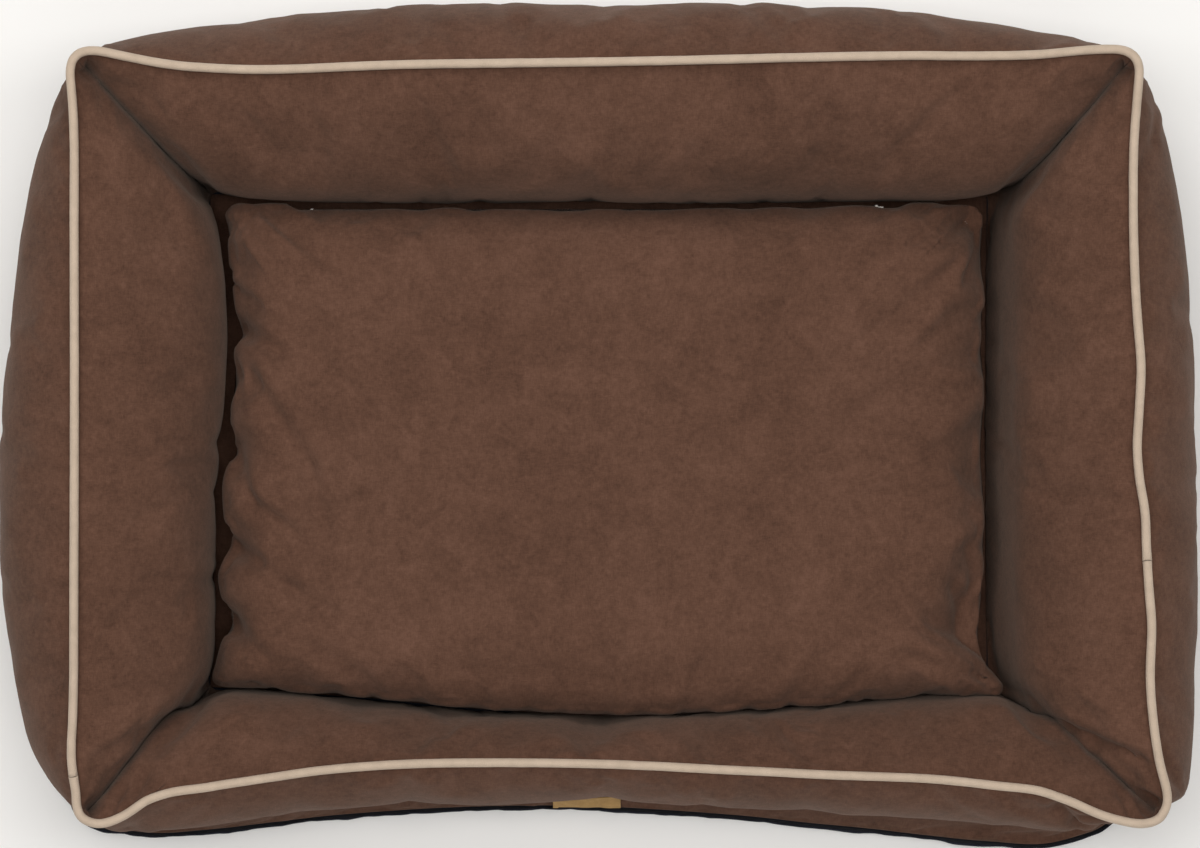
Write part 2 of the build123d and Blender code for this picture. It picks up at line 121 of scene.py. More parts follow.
def curve(x, points):
    """Smooth interpolation through (x, value) points."""
    px, py = np.array(points, float).T
    slopes = np.gradient(py, px)
    x = np.clip(np.asarray(x, float), px[0], px[-1])
    i = np.clip(np.searchsorted(px, x, side="right") - 1, 0, len(px) - 2)
    h = px[i + 1] - px[i]
    return hermite((x - px[i]) / h, py[i], py[i + 1], h * slopes[i], h * slopes[i + 1])


def lattice(ix, iy, iz, seed):
    """A repeatable random number from -1 to 1 for each whole-number point."""
    h = (ix.astype(np.int64) * 374761393 + iy.astype(np.int64) * 668265263
         + iz.astype(np.int64) * 1442695041 + seed * 1274126177) & 0xFFFFFFFF
    for shift, factor in ((13, 1274126177), (16, 1103515245), (15, 1)):
        h = ((h ^ (h >> shift)) * factor) & 0xFFFFFFFF
    return h / 2147483647.5 - 1


def wobble(x, y, z, seed):
    """Smooth noise of about unit wavelength, from -1 to 1."""
    x, y, z = np.broadcast_arrays(np.asarray(x, float), np.asarray(y, float), np.asarray(z, float))
    fx, fy, fz = np.floor(x), np.floor(y), np.floor(z)
    tx, ty, tz = smooth(x - fx), smooth(y - fy), smooth(z - fz)
    total = 0
    for dx in (0, 1):
        for dy in (0, 1):
            for dz in (0, 1):
                weight = (tx if dx else 1 - tx) * (ty if dy else 1 - ty) * (tz if dz else 1 - tz)
                total = total + weight * lattice(fx + dx, fy + dy, fz + dz, seed)
    return total


def lumps(x, y, z, sizes, seed):
    """Uneven stuffing: the sum of wobbles, each (height, wavelength, wavelength in z)."""
    return sum(h * wobble(x / w, y / w, z / wz, seed + k) for k, (h, w, wz) in enumerate(sizes))


def grid_normals(grid, closed=False):
    """Unit normals of a rows x columns x 3 grid, as columns cross rows."""
    across = np.gradient(grid, axis=0)
    if closed:
        along = (np.roll(grid, -1, axis=1) - np.roll(grid, 1, axis=1)) / 2
    else:
        along = np.gradient(grid, axis=1)
    normal = np.cross(along, across)
    return normal / np.maximum(np.linalg.norm(normal, axis=2, keepdims=True), 1e-9)


def refine(grid, axis, times):
    """Cubic refinement of an open grid along one axis, keeping its own points."""
    n = grid.shape[axis]
    g = np.moveaxis(grid, axis, 0)
    slopes = np.gradient(g, axis=0)
    t = np.linspace(0, n - 1, (n - 1) * times + 1)
    i = np.clip(np.floor(t).astype(int), 0, n - 2)
    f = (t - i).reshape(-1, *([1] * (g.ndim - 1)))
    return np.moveaxis(hermite(f, g[i], g[i + 1], slopes[i], slopes[i + 1]), 0, axis)


def path_lengths(path):
    """Distance along the path to each of its points."""
    return np.concatenate([[0], np.cumsum(np.linalg.norm(np.diff(path, axis=0), axis=1))])


# ---------------------------------------------------------------- meshes from grids (millimetres in, metres out)


def new_object(name, points, faces, uvs=None):
    """A smooth-shaded object; uvs, where given, has one pair for each corner of each face."""
    mesh = bpy.data.meshes.new(name)
    mesh.from_pydata((np.asarray(points, float) / 1000).tolist(), [], [list(map(int, f)) for f in faces])
    if uvs:
        flat = np.array([c for uv in uvs for p in uv for c in p], float)
        mesh.uv_layers.new(name="cloth").data.foreach_set("uv", flat)
    mesh.validate()
    mesh.update()
    mesh.shade_smooth()
    piece = bpy.data.objects.new(name, mesh)
    SCENE.collection.objects.link(piece)
    return piece


def grid_faces(rows, columns, start=0, closed=False, flip=False):
    faces = []
    for r in range(rows - 1):
        for c in range(columns if closed else columns - 1):
            a = start + r * columns + c
            b = start + r * columns + (c + 1) % columns
            quad = (a, b, b + columns, a + columns)
            faces.append(quad[::-1] if flip else quad)
    return faces


def thick_grid(name, outside, inside):
    """A closed piece between two open grids of the same size."""
    rows, columns = outside.shape[:2]
    n = rows * columns
    points = np.concatenate([outside.reshape(-1, 3), inside.reshape(-1, 3)])
    faces = grid_faces(rows, columns)
    faces += grid_faces(rows, columns, start=n, flip=True)
    rim = ([(0, c) for c in range(columns)] + [(r, columns - 1) for r in range(1, rows)]
           + [(rows - 1, c) for c in range(columns - 2, -1, -1)] + [(r, 0) for r in range(rows - 2, 0, -1)])
    index = [r * columns + c for r, c in rim]
    for a, b in zip(index, index[1:] + index[:1]):
        faces.append((b, a, a + n, b + n))
    return new_object(name, points, faces)


# ---------------------------------------------------------------- the ring's form

RIDGE_X, BACK_Y, FRONT_Y = 423.0, 288.0, -316.0
FLOOR_Z = 4.2

# For each side: outward direction, direction along it, its start corner and length
SIDES = {
    "front": ((0, -1), (1, 0), (-RIDGE_X, FRONT_Y), 2 * RIDGE_X),
    "right": ((1, 0), (0, 1), (RIDGE_X, FRONT_Y), BACK_Y - FRONT_Y),
    "back": ((0, 1), (-1, 0), (RIDGE_X, BACK_Y), 2 * RIDGE_X),
    "left": ((-1, 0), (0, -1), (-RIDGE_X, BACK_Y), BACK_Y - FRONT_Y),
}
ORDER = ["front", "right", "back", "left"]

# Outward offsets from the straight ridge line, by place along the side (x or y)
OFFSETS = {
    "ridge": {
        "front": [(-415, 4), (-393, 2), (-375, -6), (-362, -15), (-350, -19.5), (-315, -25), (-265, -32),
                  (-218, -38), (-160, -42), (-80, -43), (0, -42), (119, -37), (184, -34), (281, -30.5),
                  (320, -26.5), (354, -22.5), (376, -15), (403, -3.5), (426, 2), (454, 2)],
        "right": [(-316, 31), (-299, 31), (-267, 24), (-203, 17), (-156, 18), (-132, 16), (-100, 14), (-68, 12.5),
                  (-44, 8.5), (-20, 6.5), (10, 8), (47, 9.5), (80, 7), (119, 4.7), (179, 3.5), (219, 4),
                  (265, 7), (299, 10)],
        "back": [(-424, 11), (-400, 10), (-375, 5), (-340, -1), (-300, -4), (-150, -1), (0, 1), (240, 6),
                 (350, 7), (400, 11), (433, 11)],
        "left": [(-316, -7), (-300, -7), (-267, -3), (-230, -4), (-100, -5), (150, -5), (250, -4), (299, 0)],
    },
    "outer": {
        "front": [(-430, 4), (-412, 14), (-399, 20), (-374, 22), (-350, 22), (-300, 16), (-249, 9),
                  (-165, 2), (0, 1), (87, 2), (169, 6), (252, 11), (335, 17), (384, 21), (404, 20),
                  (425, 14), (460, 6)],
        "right": [(-320, 34), (-313, 46), (-301, 60), (-280, 66), (-263, 68), (-188, 73), (-46, 73), (62, 70),
                  (166, 61), (195, 56), (233, 47), (256, 40), (270, 34), (283, 24), (292, 12)],
        "back": [(-426, 2), (-412, 14), (-400, 23), (-380, 30), (-290, 46), (-165, 59), (0, 65), (168, 62),
                 (251, 54), (335, 40), (390, 30), (410, 24), (424, 14), (436, 6)],
        "left": [(-318, 6), (-304, 20), (-288, 32), (-270, 43), (-230, 57), (-146, 71), (-21, 73), (79, 66),
                 (187, 50), (240, 35), (262, 26), (279, 14), (290, 2)],
    },
    "foot": {
        "front": [(-450, 25), (-412, 31), (-385, 34.5), (-333, 32), (-282, 26), (-230, 20), (-179, 16),
                  (-127, 13), (0, 12), (78, 16.5), (130, 20.5), (181, 26), (233, 31), (284, 37), (336, 42),
                  (387, 43), (412, 36.5), (439, 27), (450, 23)],
        "right": [(-346, 28), (-280, 30), (280, 30), (316, 28)],
        "back": [(-453, 28), (-420, 30), (420, 30), (453, 28)],
        "left": [(-346, 28), (-280, 30), (280, 30), (316, 28)],
    },
    "inner": {
        "front": [(-330, -91), (-250, -80), (-120, -67), (0, -64), (120, -67), (250, -76), (340, -86)],
        "right": [(-228, -73), (-150, -71), (0, -72), (150, -74), (190, -78)],
        "back": [(-327, -91), (-250, -92), (0, -94), (250, -94), (336, -94)],
        "left": [(-218, -92), (-185, -92), (-57, -95), (-19, -98), (37, -103), (120, -103), (194, -93)],
    },
    "floor": {
        "front": [(-334, -88), (0, -65), (334, -88)],
        "right": [(-228, -88), (200, -88)],
        "back": [(-335, -88), (335, -88)],
        "left": [(-228, -88), (200, -88)],
    },
}
# What the cloth simulation adds outside the outer wall's fullest line
SWELL = 5.5
# Height of each line, and how far it hangs lower in the middle of the front
HEIGHTS = {
    "ridge": (dict.fromkeys(ORDER, 192.0), 32),
    "outer": ({"front": 80, "right": 84, "back": 86, "left": 84}, 34),
    "inner": ({"front": 94, "right": 96, "back": 96, "left": 96}, 16),
    "foot": (dict.fromkeys(ORDER, 14.3), 0),
    "floor": (dict.fromkeys(ORDER, FLOOR_Z), 0),
}
# How much of that dip there is, by x
FRONT_DIP = [(-430, 0.0), (-395, 0.05), (-340, 0.36), (-260, 0.70), (-120, 1.0), (60, 1.0), (200, 0.84),
             (320, 0.48), (400, 0.10), (454, 0.0)]


def key_offset(side, key, place):
    return curve(place, OFFSETS[key][side]) - (SWELL if key == "outer" else 0)


def key_height(side, key, place):
    height, dip = HEIGHTS[key]
    return height[side] - dip * (curve(place, FRONT_DIP) if side == "front" else 0 * place)


def columns_for(length, step=8.0):
    """Places along a side, 0 to 1, a little closer together near its corners."""
    n = int(round(length / step))
    i = np.arange(n) / n
    return 0.78 * i + 0.22 * (0.5 - 0.5 * np.cos(math.pi * i))


def corner_points(key):
    """Where neighbouring sides' lines meet, keyed by the side that starts there."""
    points = {}
    for i, s in enumerate(ORDER):
        before = ORDER[i - 1]
        start = np.array(SIDES[s][2], float)
        point = start.copy()
        for _ in range(6):
            for t in (before, s):
                n = np.array(SIDES[t][0], float)
                place = point[0] if abs(n[1]) > 0.5 else point[1]
                out = float(key_offset(t, key, np.array([place]))[0])
                axis = 1 if abs(n[1]) > 0.5 else 0
                point[axis] = start[axis] + n[axis] * out
        points[s] = point
    return points


SHARES = {s: columns_for(SIDES[s][3]) for s in ORDER}
FIRST = {}
COLUMNS = 0
for s in ORDER:
    FIRST[s] = COLUMNS
    COLUMNS += len(SHARES[s])


def key_loop(key):
    """The closed line of one of the sections' key points round the ring."""
    corners = corner_points(key)
    loop = np.zeros((COLUMNS, 3))
    for i, s in enumerate(ORDER):
        n, m, start, length = (np.array(v, float) for v in SIDES[s])
        a, b = corners[s], corners[ORDER[(i + 1) % 4]]
        v = SHARES[s][:, None]
        along = ((a * (1 - v) + b * v - start) * m).sum(1)
        place = (start * np.abs(m)).sum() + along * m.sum()
        out = key_offset(s, key, place)
        sel = slice(FIRST[s], FIRST[s] + len(v))
        loop[sel, :2] = start + m * along[:, None] + n * out[:, None]
        loop[sel, 2] = key_height(s, key, place)
    return loop


def bezier_rows(full, end, n):
    """Points of each column's curve from its fullest point (upright) to its end (nearly level)."""
    t = np.linspace(0, 1, n)[:, None, None]
    p1 = full.copy()
    p1[:, 2] += 0.55 * (end[:, 2] - full[:, 2])
    p2 = end + 0.55 * (full - end)
    p2[:, 2] = end[:, 2] + 0.10 * (full[:, 2] - end[:, 2])
    return (1 - t)**3 * full + 3 * t * (1 - t)**2 * p1 + 3 * t**2 * (1 - t) * p2 + t**3 * end


ROWS_FOOT, ROWS_OUTER, ROWS_TOP, ROWS_INNER, ROWS_UNDER = 11, 17, 18, 12, 9
OUTER_ROW = ROWS_FOOT - 1
RIDGE_ROW = OUTER_ROW + ROWS_OUTER - 1
INNER_ROW = RIDGE_ROW + ROWS_TOP - 1
LAST_ROW = INNER_ROW + ROWS_INNER - 1


def ring_grid():
    k = {key: key_loop(key) for key in OFFSETS}
    upright = [bezier_rows(k["outer"], k["foot"], ROWS_FOOT)[::-1],
               bezier_rows(k["outer"], k["ridge"], ROWS_OUTER)[1:],
               bezier_rows(k["inner"], k["ridge"], ROWS_TOP)[::-1][1:],
               bezier_rows(k["inner"], k["floor"], ROWS_INNER)[1:]]
    return np.concatenate(upright, axis=0)


def loop_distance(loop, index):
    """Distance along a closed loop from the point at index: to the nearer side, ahead, and the whole length."""
    step = np.linalg.norm(np.roll(loop, -1, 0) - loop, axis=1)
    ahead = np.roll(np.concatenate([[0], np.cumsum(np.roll(step, -index)[:-1])]), index)
    total = step.sum()
    return np.minimum(ahead, total - ahead), ahead, total


def round_corners(grid, reach):
    """Rounds each row's plan at the four corners, taking the length reach[row] from each side."""
    out = grid.copy()
    near = np.arange(-14, 15)
    for s in ORDER:
        c = FIRST[s]
        idx = (c + near) % COLUMNS
        for r, (loop, t) in enumerate(zip(grid, reach)):
            _, ahead, total = loop_distance(loop, c)
            sd = np.where(ahead[idx] > total / 2, ahead[idx] - total, ahead[idx])
            a = np.array([np.interp(-t, sd, loop[idx, k]) for k in range(3)])
            b = np.array([np.interp(t, sd, loop[idx, k]) for k in range(3)])
            keep = np.abs(sd) < t
            f = ((sd[keep] / t + 1) / 2)[:, None]
            out[r, idx[keep], :2] = ((1 - f)**2 * a + 2 * f * (1 - f) * loop[c] + f**2 * b)[:, :2]
    return out


def crease_corners(grid, depth, width):
    """Pulls the fabric in along the four mitre seams, by depth[row] within width[row]."""
    normal = grid_normals(grid, closed=True)
    out = grid.copy()
    for s in ORDER:
        for r in range(grid.shape[0]):
            distance = loop_distance(grid[r], FIRST[s])[0]
            out[r] -= normal[r] * (depth[r] * np.exp(-(distance / width[r])))[:, None]
    return out


def soften(field, passes, wrap_rows=True):
    """Smooths a rows x columns field, wrapping along its columns."""
    for _ in range(passes):
        field = (np.roll(field, 1, 1) + 2 * field + np.roll(field, -1, 1)) / 4
        if wrap_rows:
            field = (np.roll(field, 1, 0) + 2 * field + np.roll(field, -1, 0)) / 4
        else:
            padded = np.concatenate([field[:1], field, field[-1:]])
            field = (padded[:-2] + 2 * field + padded[2:]) / 4
    return field


def cap(vectors, most):
    """Shortens vectors smoothly, so that none is longer than most."""
    length = np.linalg.norm(vectors, axis=-1, keepdims=True)
    return vectors * (most * np.tanh(length / most) / np.maximum(length, 1e-9))


def settle(name, points, faces, hold, slack, stiffness, pressure=3.0, frames=20):
    """Where Blender's cloth puts the points of a closed cover that is blown up a little, held where hold is 1."""
    piece = new_object(name, points, faces)
    group = piece.vertex_groups.new(name="hold")
    levels = np.round(hold, 3)
    for value in np.unique(levels):
        if value > 0:
            group.add(np.where(levels == value)[0].tolist(), float(value), "REPLACE")
    modifier = piece.modifiers.new("cloth", "CLOTH")
    cloth = modifier.settings
    for key, value in (
            ("quality", 5), ("mass", 0.3), ("tension_stiffness", stiffness), ("compression_stiffness", stiffness),
            ("shear_stiffness", stiffness / 3), ("bending_stiffness", 0.6), ("use_pressure", True),
            ("uniform_pressure_force", pressure), ("shrink_min", -slack), ("vertex_group_mass", "hold"),
            ("pin_stiffness", 1.0)):
        setattr(cloth, key, value)
    cloth.effector_weights.gravity = 0
    modifier.collision_settings.use_collision = False
    modifier.point_cache.frame_start, modifier.point_cache.frame_end = 1, frames
    for f in range(1, frames + 1):
        SCENE.frame_set(f)
    evaluated = piece.evaluated_get(bpy.context.evaluated_depsgraph_get())
    mesh = evaluated.to_mesh()
    result = np.empty(len(points) * 3)
    mesh.vertices.foreach_get("co", result)
    evaluated.to_mesh_clear()
    data = piece.data
    bpy.data.objects.remove(piece, do_unlink=True)
    bpy.data.meshes.remove(data)
    SCENE.frame_set(1)
    return result.reshape(-1, 3) * 1000


def by_row(places, values, count=LAST_ROW + 1):
    """One value for each row, from values at a few rows."""
    return np.interp(np.arange(count), places, values)


# By row: how far the corners are rounded in plan, and how deep and wide the mitre seams pull in
ROUNDING = by_row([0, OUTER_ROW, RIDGE_ROW, RIDGE_ROW + 4, INNER_ROW, LAST_ROW], [34, 26, 22, 14, 8, 9])
CREASE_DEPTH = by_row([0, OUTER_ROW - 4, OUTER_ROW, RIDGE_ROW - 3, RIDGE_ROW, RIDGE_ROW + 1, RIDGE_ROW + 3,
                       RIDGE_ROW + 7, INNER_ROW - 2, INNER_ROW, LAST_ROW],
                      [0, 2, 4, 5, 0, 11, 17, 18, 17, 14, 0])
CREASE_WIDTH = by_row([0, RIDGE_ROW, RIDGE_ROW + 1, RIDGE_ROW + 5, INNER_ROW, LAST_ROW], [16, 13, 9, 12, 14, 14])
LOOSELY_HELD = 0.012
BROAD_LIMIT, FINE_LIMIT = 8.0, 3.6


def closed_ring():
    """The ring's shape before it settles: its walls, and a floor that closes the section below."""
    form = crease_corners(round_corners(ring_grid(), ROUNDING), CREASE_DEPTH, CREASE_WIDTH)
    t = np.linspace(0, 1, ROWS_UNDER)[1:, None, None]
    foot_under = form[0] * [1, 1, 0] + [0, 0, FLOOR_Z]
    return np.concatenate([form, form[LAST_ROW] * (1 - t) + foot_under * t])


def ring_movement(torus):
    """How the simulation moves the ring's points, held along the foot, ridge, floor and mitres."""
    count = len(torus)
    hold = np.full(torus.shape[:2], LOOSELY_HELD)
    hold[0] = hold[RIDGE_ROW] = 1
    hold[LAST_ROW:] = 1
    for s in ORDER:
        hold[:, FIRST[s]] = 1
    last = (count - 1) * COLUMNS
    closing = [(a + last, b + last, b, a) for a, b in ((c, (c + 1) % COLUMNS) for c in range(COLUMNS))]
    faces = grid_faces(count, COLUMNS, closed=True) + closing
    return settle("ring_cloth", torus.reshape(-1, 3), faces, hold.ravel(), 0.035, 12).reshape(torus.shape) - torus


def settled_ring():
    """The ring with the simulation's swelling and wrinkles, which are calmer along its outline."""
    torus = closed_ring()
    count = len(torus)
    moved = ring_movement(torus)
    broad = soften(moved, 14)
    wrinkles = moved - broad
    calm = by_row([0, OUTER_ROW - 4, OUTER_ROW, OUTER_ROW + 6, INNER_ROW - 7, INNER_ROW - 2, LAST_ROW],
                  [0.8, 0.3, 0.05, 0.5, 0.85, 0.35, 0.5], count)[:, None, None]
    even = by_row([0, OUTER_ROW - 5, OUTER_ROW + 5, RIDGE_ROW - 2, LAST_ROW], [0.5, 1.0, 1.0, 0.2, 0.0],
                  count)[:, None, None]
    broad = soften(broad, 60) * even + broad * (1 - even)
    # The front wall swells less at its foot and is tucked in there, so that the base shows beyond it
    along = np.arange(COLUMNS) - FIRST["front"]
    at_front = smooth(along / 6) * smooth((len(SHARES["front"]) - along) / 6)
    firm = by_row([0, OUTER_ROW, OUTER_ROW + 6], [0.65, 0.65, 0.0], count)
    tuck = by_row([0, 3, 6, OUTER_ROW, OUTER_ROW + 6], [0, 0.8, 2.2, 2.6, 0], count)
    broad *= 1 - firm[:, None, None] * at_front[:, None]
    ring = torus + cap(broad, BROAD_LIMIT) + cap(wrinkles * calm, FINE_LIMIT)
    ring[..., 1] += tuck[:, None] * at_front
    return ring


ring = settled_ring()


def side_columns(side):
    """The columns of one side, from its first mitre to the next one."""
    return [(FIRST[side] + i) % COLUMNS for i in range(len(SHARES[side]) + 1)]


def edge_distances(grid):
    """Distances of each point to the grid's first and last row, and first and last column."""
    across = np.concatenate([np.zeros((1, grid.shape[1])),
                             np.cumsum(np.linalg.norm(np.diff(grid, axis=0), axis=2), axis=0)])
    along = np.concatenate([np.zeros((grid.shape[0], 1)),
                            np.cumsum(np.linalg.norm(np.diff(grid, axis=1), axis=2), axis=1)], axis=1)
    return across, across[-1:] - across, along, along[:, -1:] - along


def fold_field(points, folds):
    """Height along the normal of soft folds, each (x0, y0, x1, y1, depth, width, lip)."""
    total = np.zeros(points.shape[:2])
    for x0, y0, x1, y1, depth, width, lip in folds:
        a, b = np.array([x0, y0]), np.array([x1, y1])
        length = np.linalg.norm(b - a)
        m = (b - a) / length
        p = points[..., :2] - a
        s = p @ m
        d = p @ np.array([-m[1], m[0]])
        end = np.maximum(np.maximum(-s, s - length), 0)
        fade = np.exp(-(end / (1.2 * width))**2) * smooth((s / length + 0.4) / 0.5) * smooth((1.4 - s / length) / 0.5)
        total += fade * (-depth * np.exp(-(d / width)**2) + lip * np.exp(-((d - 1.5 * width) / (1.1 * width))**2))
    return total


INNER_SLIT, OUTER_SLIT = 5.5, 1.2


def relief(fine, folds, seed, slit):
    """Uneven stuffing, soft folds, mitre slits and seam puckers, as heights along the normals."""
    top, bottom, start, end = edge_distances(fine)
    to_seam = np.minimum(np.minimum(top, bottom), np.minimum(start, end))
    away = 1 - np.exp(-to_seam / 9)
    x, y, z = fine[..., 0], fine[..., 1], fine[..., 2]
    inner = slit == INNER_SLIT
    height = away * lumps(x, y, z, ((2.2, 95, 95), (1.3 if inner else 0.7, 41, 60), (0.45, 17, 22)), seed)
    height += (1 - np.exp(-to_seam / 3)) * fold_field(fine, folds)
    height -= slit * smooth(top / 10) * smooth(bottom / 25) * (np.exp(-start / 3.5) + np.exp(-end / 3.5))
    if inner:
        height -= 5 * np.exp(-((top - 15) / 8)**2) * (np.exp(-(start / 8)**2) + np.exp(-(end / 8)**2))
    for k, (d, s, size) in enumerate(((top, start, 0.8), (bottom, start, 0.8), (start, top, 0.9), (end, top, 0.9))):
        near = (1 - np.exp(-d / 2.5)) * np.exp(-d / 11)
        height += size * near * (1.6 * wobble(s / 9.5, d / 40, 0.5, seed + 3 + k)
                                 + 0.8 * wobble(s / 23, 0.3, 0.1, seed + 3 + k))
    return height


# Folds of each wall: from x, y to x, y, depth, width and height of the lip beside it
FOLDS = {
    "inner_front": [(-379, -312, -366, -281, 4.0, 4, 2.0), (-394, -315, -382, -290, 4.5, 4, 2.4),
                    (428, -317, 420, -294, 4.0, 3.5, 2.0), (441, -315, 434, -298, 3.5, 3.0, 1.6)],
    "inner_right": [(374, -246, 434, -269, 7.5, 6, 3.5), (424, -294, 447, -302, 6.5, 4, 2.5),
                    (436, -290, 400, -262, 3.5, 5, 1.8),
                    (428, 262, 400, 225, 2.0, 9, 1.0), (385, -60, 352, -66, 1.4, 8, 0.6)],
    "inner_left": [(-414, -212, -352, -215, 2.0, 5, 1.2), (-402, -225, -380, -232, 1.8, 5, 0.9),
                   (-392, -262, -352, -240, 3.4, 7, 1.6), (-366, -124, -318, -130, 2.2, 6, 1.1),
                   (-405, -96, -372, -92, 1.4, 6, 0.7)],
    "inner_back": [(-330, 258, -280, 236, 1.2, 9, 0.6), (180, 262, 205, 225, 1.0, 10, 0.5),
                   (-60, 250, -25, 220, 1.0, 12, 0.5)],
    "outer_front": [(368, -305, 392, -327, 6.0, 5, 3.5), (388, -322, 414, -327, 5.0, 5, 2.5),
                    (-384, -322, -376, -340, 2.0, 6, 1.0)],
    "outer_right": [(452, 262, 447, 228, 2.2, 4, 1.2), (466, -290, 448, -262, 2.5, 6, 1.2)],
    "outer_back": [(-82, 344, -48, 302, 2.2, 8, 1.0), (118, 346, 156, 303, 2.2, 8, 1.0),
                   (60, 338, 88, 308, 1.2, 8, 0.5), (-260, 330, -240, 300, 1.2, 9, 0.5)],
    "outer_left": [(-462, -140, -432, -130, 1.4, 7, 0.7), (-458, -200, -430, -190, 1.4, 8, 0.7)],
}


# ---------------------------------------------------------------- materials


class Finish:
    """A procedural material, built node by node."""

    def __init__(self, name):
        self.material = bpy.data.materials.new(name)
        self.material.use_nodes = True
        self.tree = self.material.node_tree
        self.shader = self.tree.nodes["Principled BSDF"]
        self.where = self.tree.nodes.new("ShaderNodeTexCoord")

    def node(self, kind, **inputs):
        """A new node; an input is linked where it is another node's output, and else set."""
        node = self.tree.nodes.new("ShaderNode" + kind)
        for key, value in inputs.items():
            self.give(node.inputs[key.replace("_", " ")], value)
        return node

    def give(self, socket, value):
        if isinstance(value, bpy.types.NodeSocket):
            self.tree.links.new(value, socket)
        else:
            socket.default_value = value

    def mapped(self, scale=(1, 1, 1), turn=(0, 0, 0), uv=False):
        return self.node("Mapping", Scale=scale, Rotation=turn,
                         Vector=self.where.outputs["UV" if uv else "Object"]).outputs["Vector"]

    def noise(self, vector, scale, detail=3.0, roughness=0.5, distortion=0.0):
        return self.node("TexNoise", Scale=scale, Detail=detail, Roughness=roughness, Distortion=distortion,
                         Vector=vector).outputs["Fac"]

    def wave(self, vector, scale, distortion, direction):
        node = self.node("TexWave", Scale=scale, Distortion=distortion, Vector=vector)
        node.bands_direction = direction
        return node.outputs["Fac"]

    def math(self, how, *values):
        node = self.node("Math")
        node.operation = how
        for socket, value in zip(node.inputs, values):
            self.give(socket, value)
        return node.outputs[0]

    def total(self, parts):
        """0.5 plus each (fac, weight) measured from its own middle."""
        result = 0.5
        for fac, weight in parts:
            result = self.math("ADD", result, self.math("MULTIPLY", self.math("SUBTRACT", fac, 0.5), weight))
        return result

    def ramp(self, fac, stops):
        node = self.node("ValToRGB", Fac=fac)
        elements = node.color_ramp.elements
        while len(elements) < len(stops):
            elements.new(0.5)
        for element, (place, colour) in zip(elements, stops):
            element.position, element.color = place, (*colour, 1)
        return node.outputs["Color"]

    def spread(self, fac, low, high):
        return self.node("MapRange", To_Min=low, To_Max=high, Value=fac).outputs["Result"]

    def bump(self, height, distance, strength, **onto):
        return self.node("Bump", Distance=distance, Strength=strength, Height=height, **onto).outputs["Normal"]

    def apply(self, colour, rough, normal, sheen=0.0, tint=(1, 1, 1), sheen_rough=0.5, metal=0.0, specular=0.5):
        for key, value in (("Base Color", colour), ("Roughness", rough), ("Normal", normal), ("Sheen Weight", sheen),
                           ("Sheen Tint", (*tint, 1)), ("Sheen Roughness", sheen_rough), ("Metallic", metal),
                           ("Specular IOR Level", specular)):
            self.give(self.shader.inputs[key], value)
        return self.material


def suede(name, low, middle, high):
    f = Finish(name)
    plain = f.mapped()
    broad = f.noise(plain, 9, 3, 0.55, 0.4)
    blotch = f.noise(plain, 42, 4, 0.6, 0.8)
    speck = f.noise(plain, 190, 3, 0.6)
    across = f.noise(f.mapped((1, 5, 1)), 230, 2, 0.6)
    along = f.noise(f.mapped((5, 1, 1)), 230, 2, 0.6)
    fibre = f.noise(plain, 1500, 2, 0.7)
    tone = f.total([(broad, 0.42), (blotch, 0.55), (speck, 0.5), (across, 0.42), (along, 0.42), (fibre, 0.3)])
    colour = f.ramp(tone, [(0.22, low), (0.5, middle), (0.80, high)])
    fine = f.bump(fibre, 0.00025, 0.5)
    normal = f.bump(f.total([(speck, 0.5), (across, 0.35), (along, 0.35)]), 0.0006, 0.45, Normal=fine)
    return f.apply(colour, f.spread(blotch, 0.82, 0.97), normal, 0.15, (0.62, 0.53, 0.45), 0.55, specular=0.15)


# Bands that a wave texture of scale 1 has in each metre, or in each unit of UV
BANDS = 3.183


def woven(name, low, high, thread, strength, mottling, uv=False, turn=(0, 0, 0), sheen=0.1, bend=0.5):
    """Cloth whose threads show: thread is the number of threads for each metre (or unit of UV)."""
    f = Finish(name)
    base = f.mapped((1, 1, 1), turn, uv)
    warp, weft, rise = (f.wave(base, thread / BANDS, bend, axis) for axis in "XYZ")
    patch = f.noise(f.mapped(), mottling, 3, 0.6)
    fuzz = f.noise(f.mapped(), 1400, 2, 0.7)
    tone = f.total([(warp, 0.25), (weft, 0.25), (patch, 0.6), (fuzz, 0.3)])
    colour = f.ramp(tone, [(0.25, low), (0.8, high)])
    normal = f.bump(f.total([(warp, 0.5), (weft, 0.5), (rise, 0.4), (fuzz, 0.3)]), 0.0004, strength)
    return f.apply(colour, f.spread(patch, 0.78, 0.95), normal, sheen, (0.7, 0.7, 0.7), 0.5, specular=0.25)


def metal(name, low, high):
    f = Finish(name)
    smear = f.noise(f.mapped(), 300, 3, 0.6)
    scratch = f.noise(f.mapped((1, 14, 1), (0, 0, 0.5)), 700, 2, 0.7)
    colour = f.ramp(smear, [(0.3, low), (0.7, high)])
    normal = f.bump(f.total([(scratch, 0.6), (smear, 0.3)]), 0.00006, 0.5)
    return f.apply(colour, f.spread(scratch, 0.24, 0.46), normal, metal=1.0)


def fibre_fill(name, low, high):
    f = Finish(name)
    tuft = f.noise(f.mapped(), 60, 5, 0.65, 1.5)
    strand = f.noise(f.mapped((1, 1, 4)), 420, 4, 0.7, 2.0)
    colour = f.ramp(f.total([(tuft, 0.7), (strand, 0.5)]), [(0.25, low), (0.75, high)])
    normal = f.bump(strand, 0.002, 0.7, Normal=f.bump(tuft, 0.006, 0.5))
    return f.apply(colour, f.spread(tuft, 0.85, 1.0), normal, 0.3, (1, 1, 1), 0.6, specular=0.2)


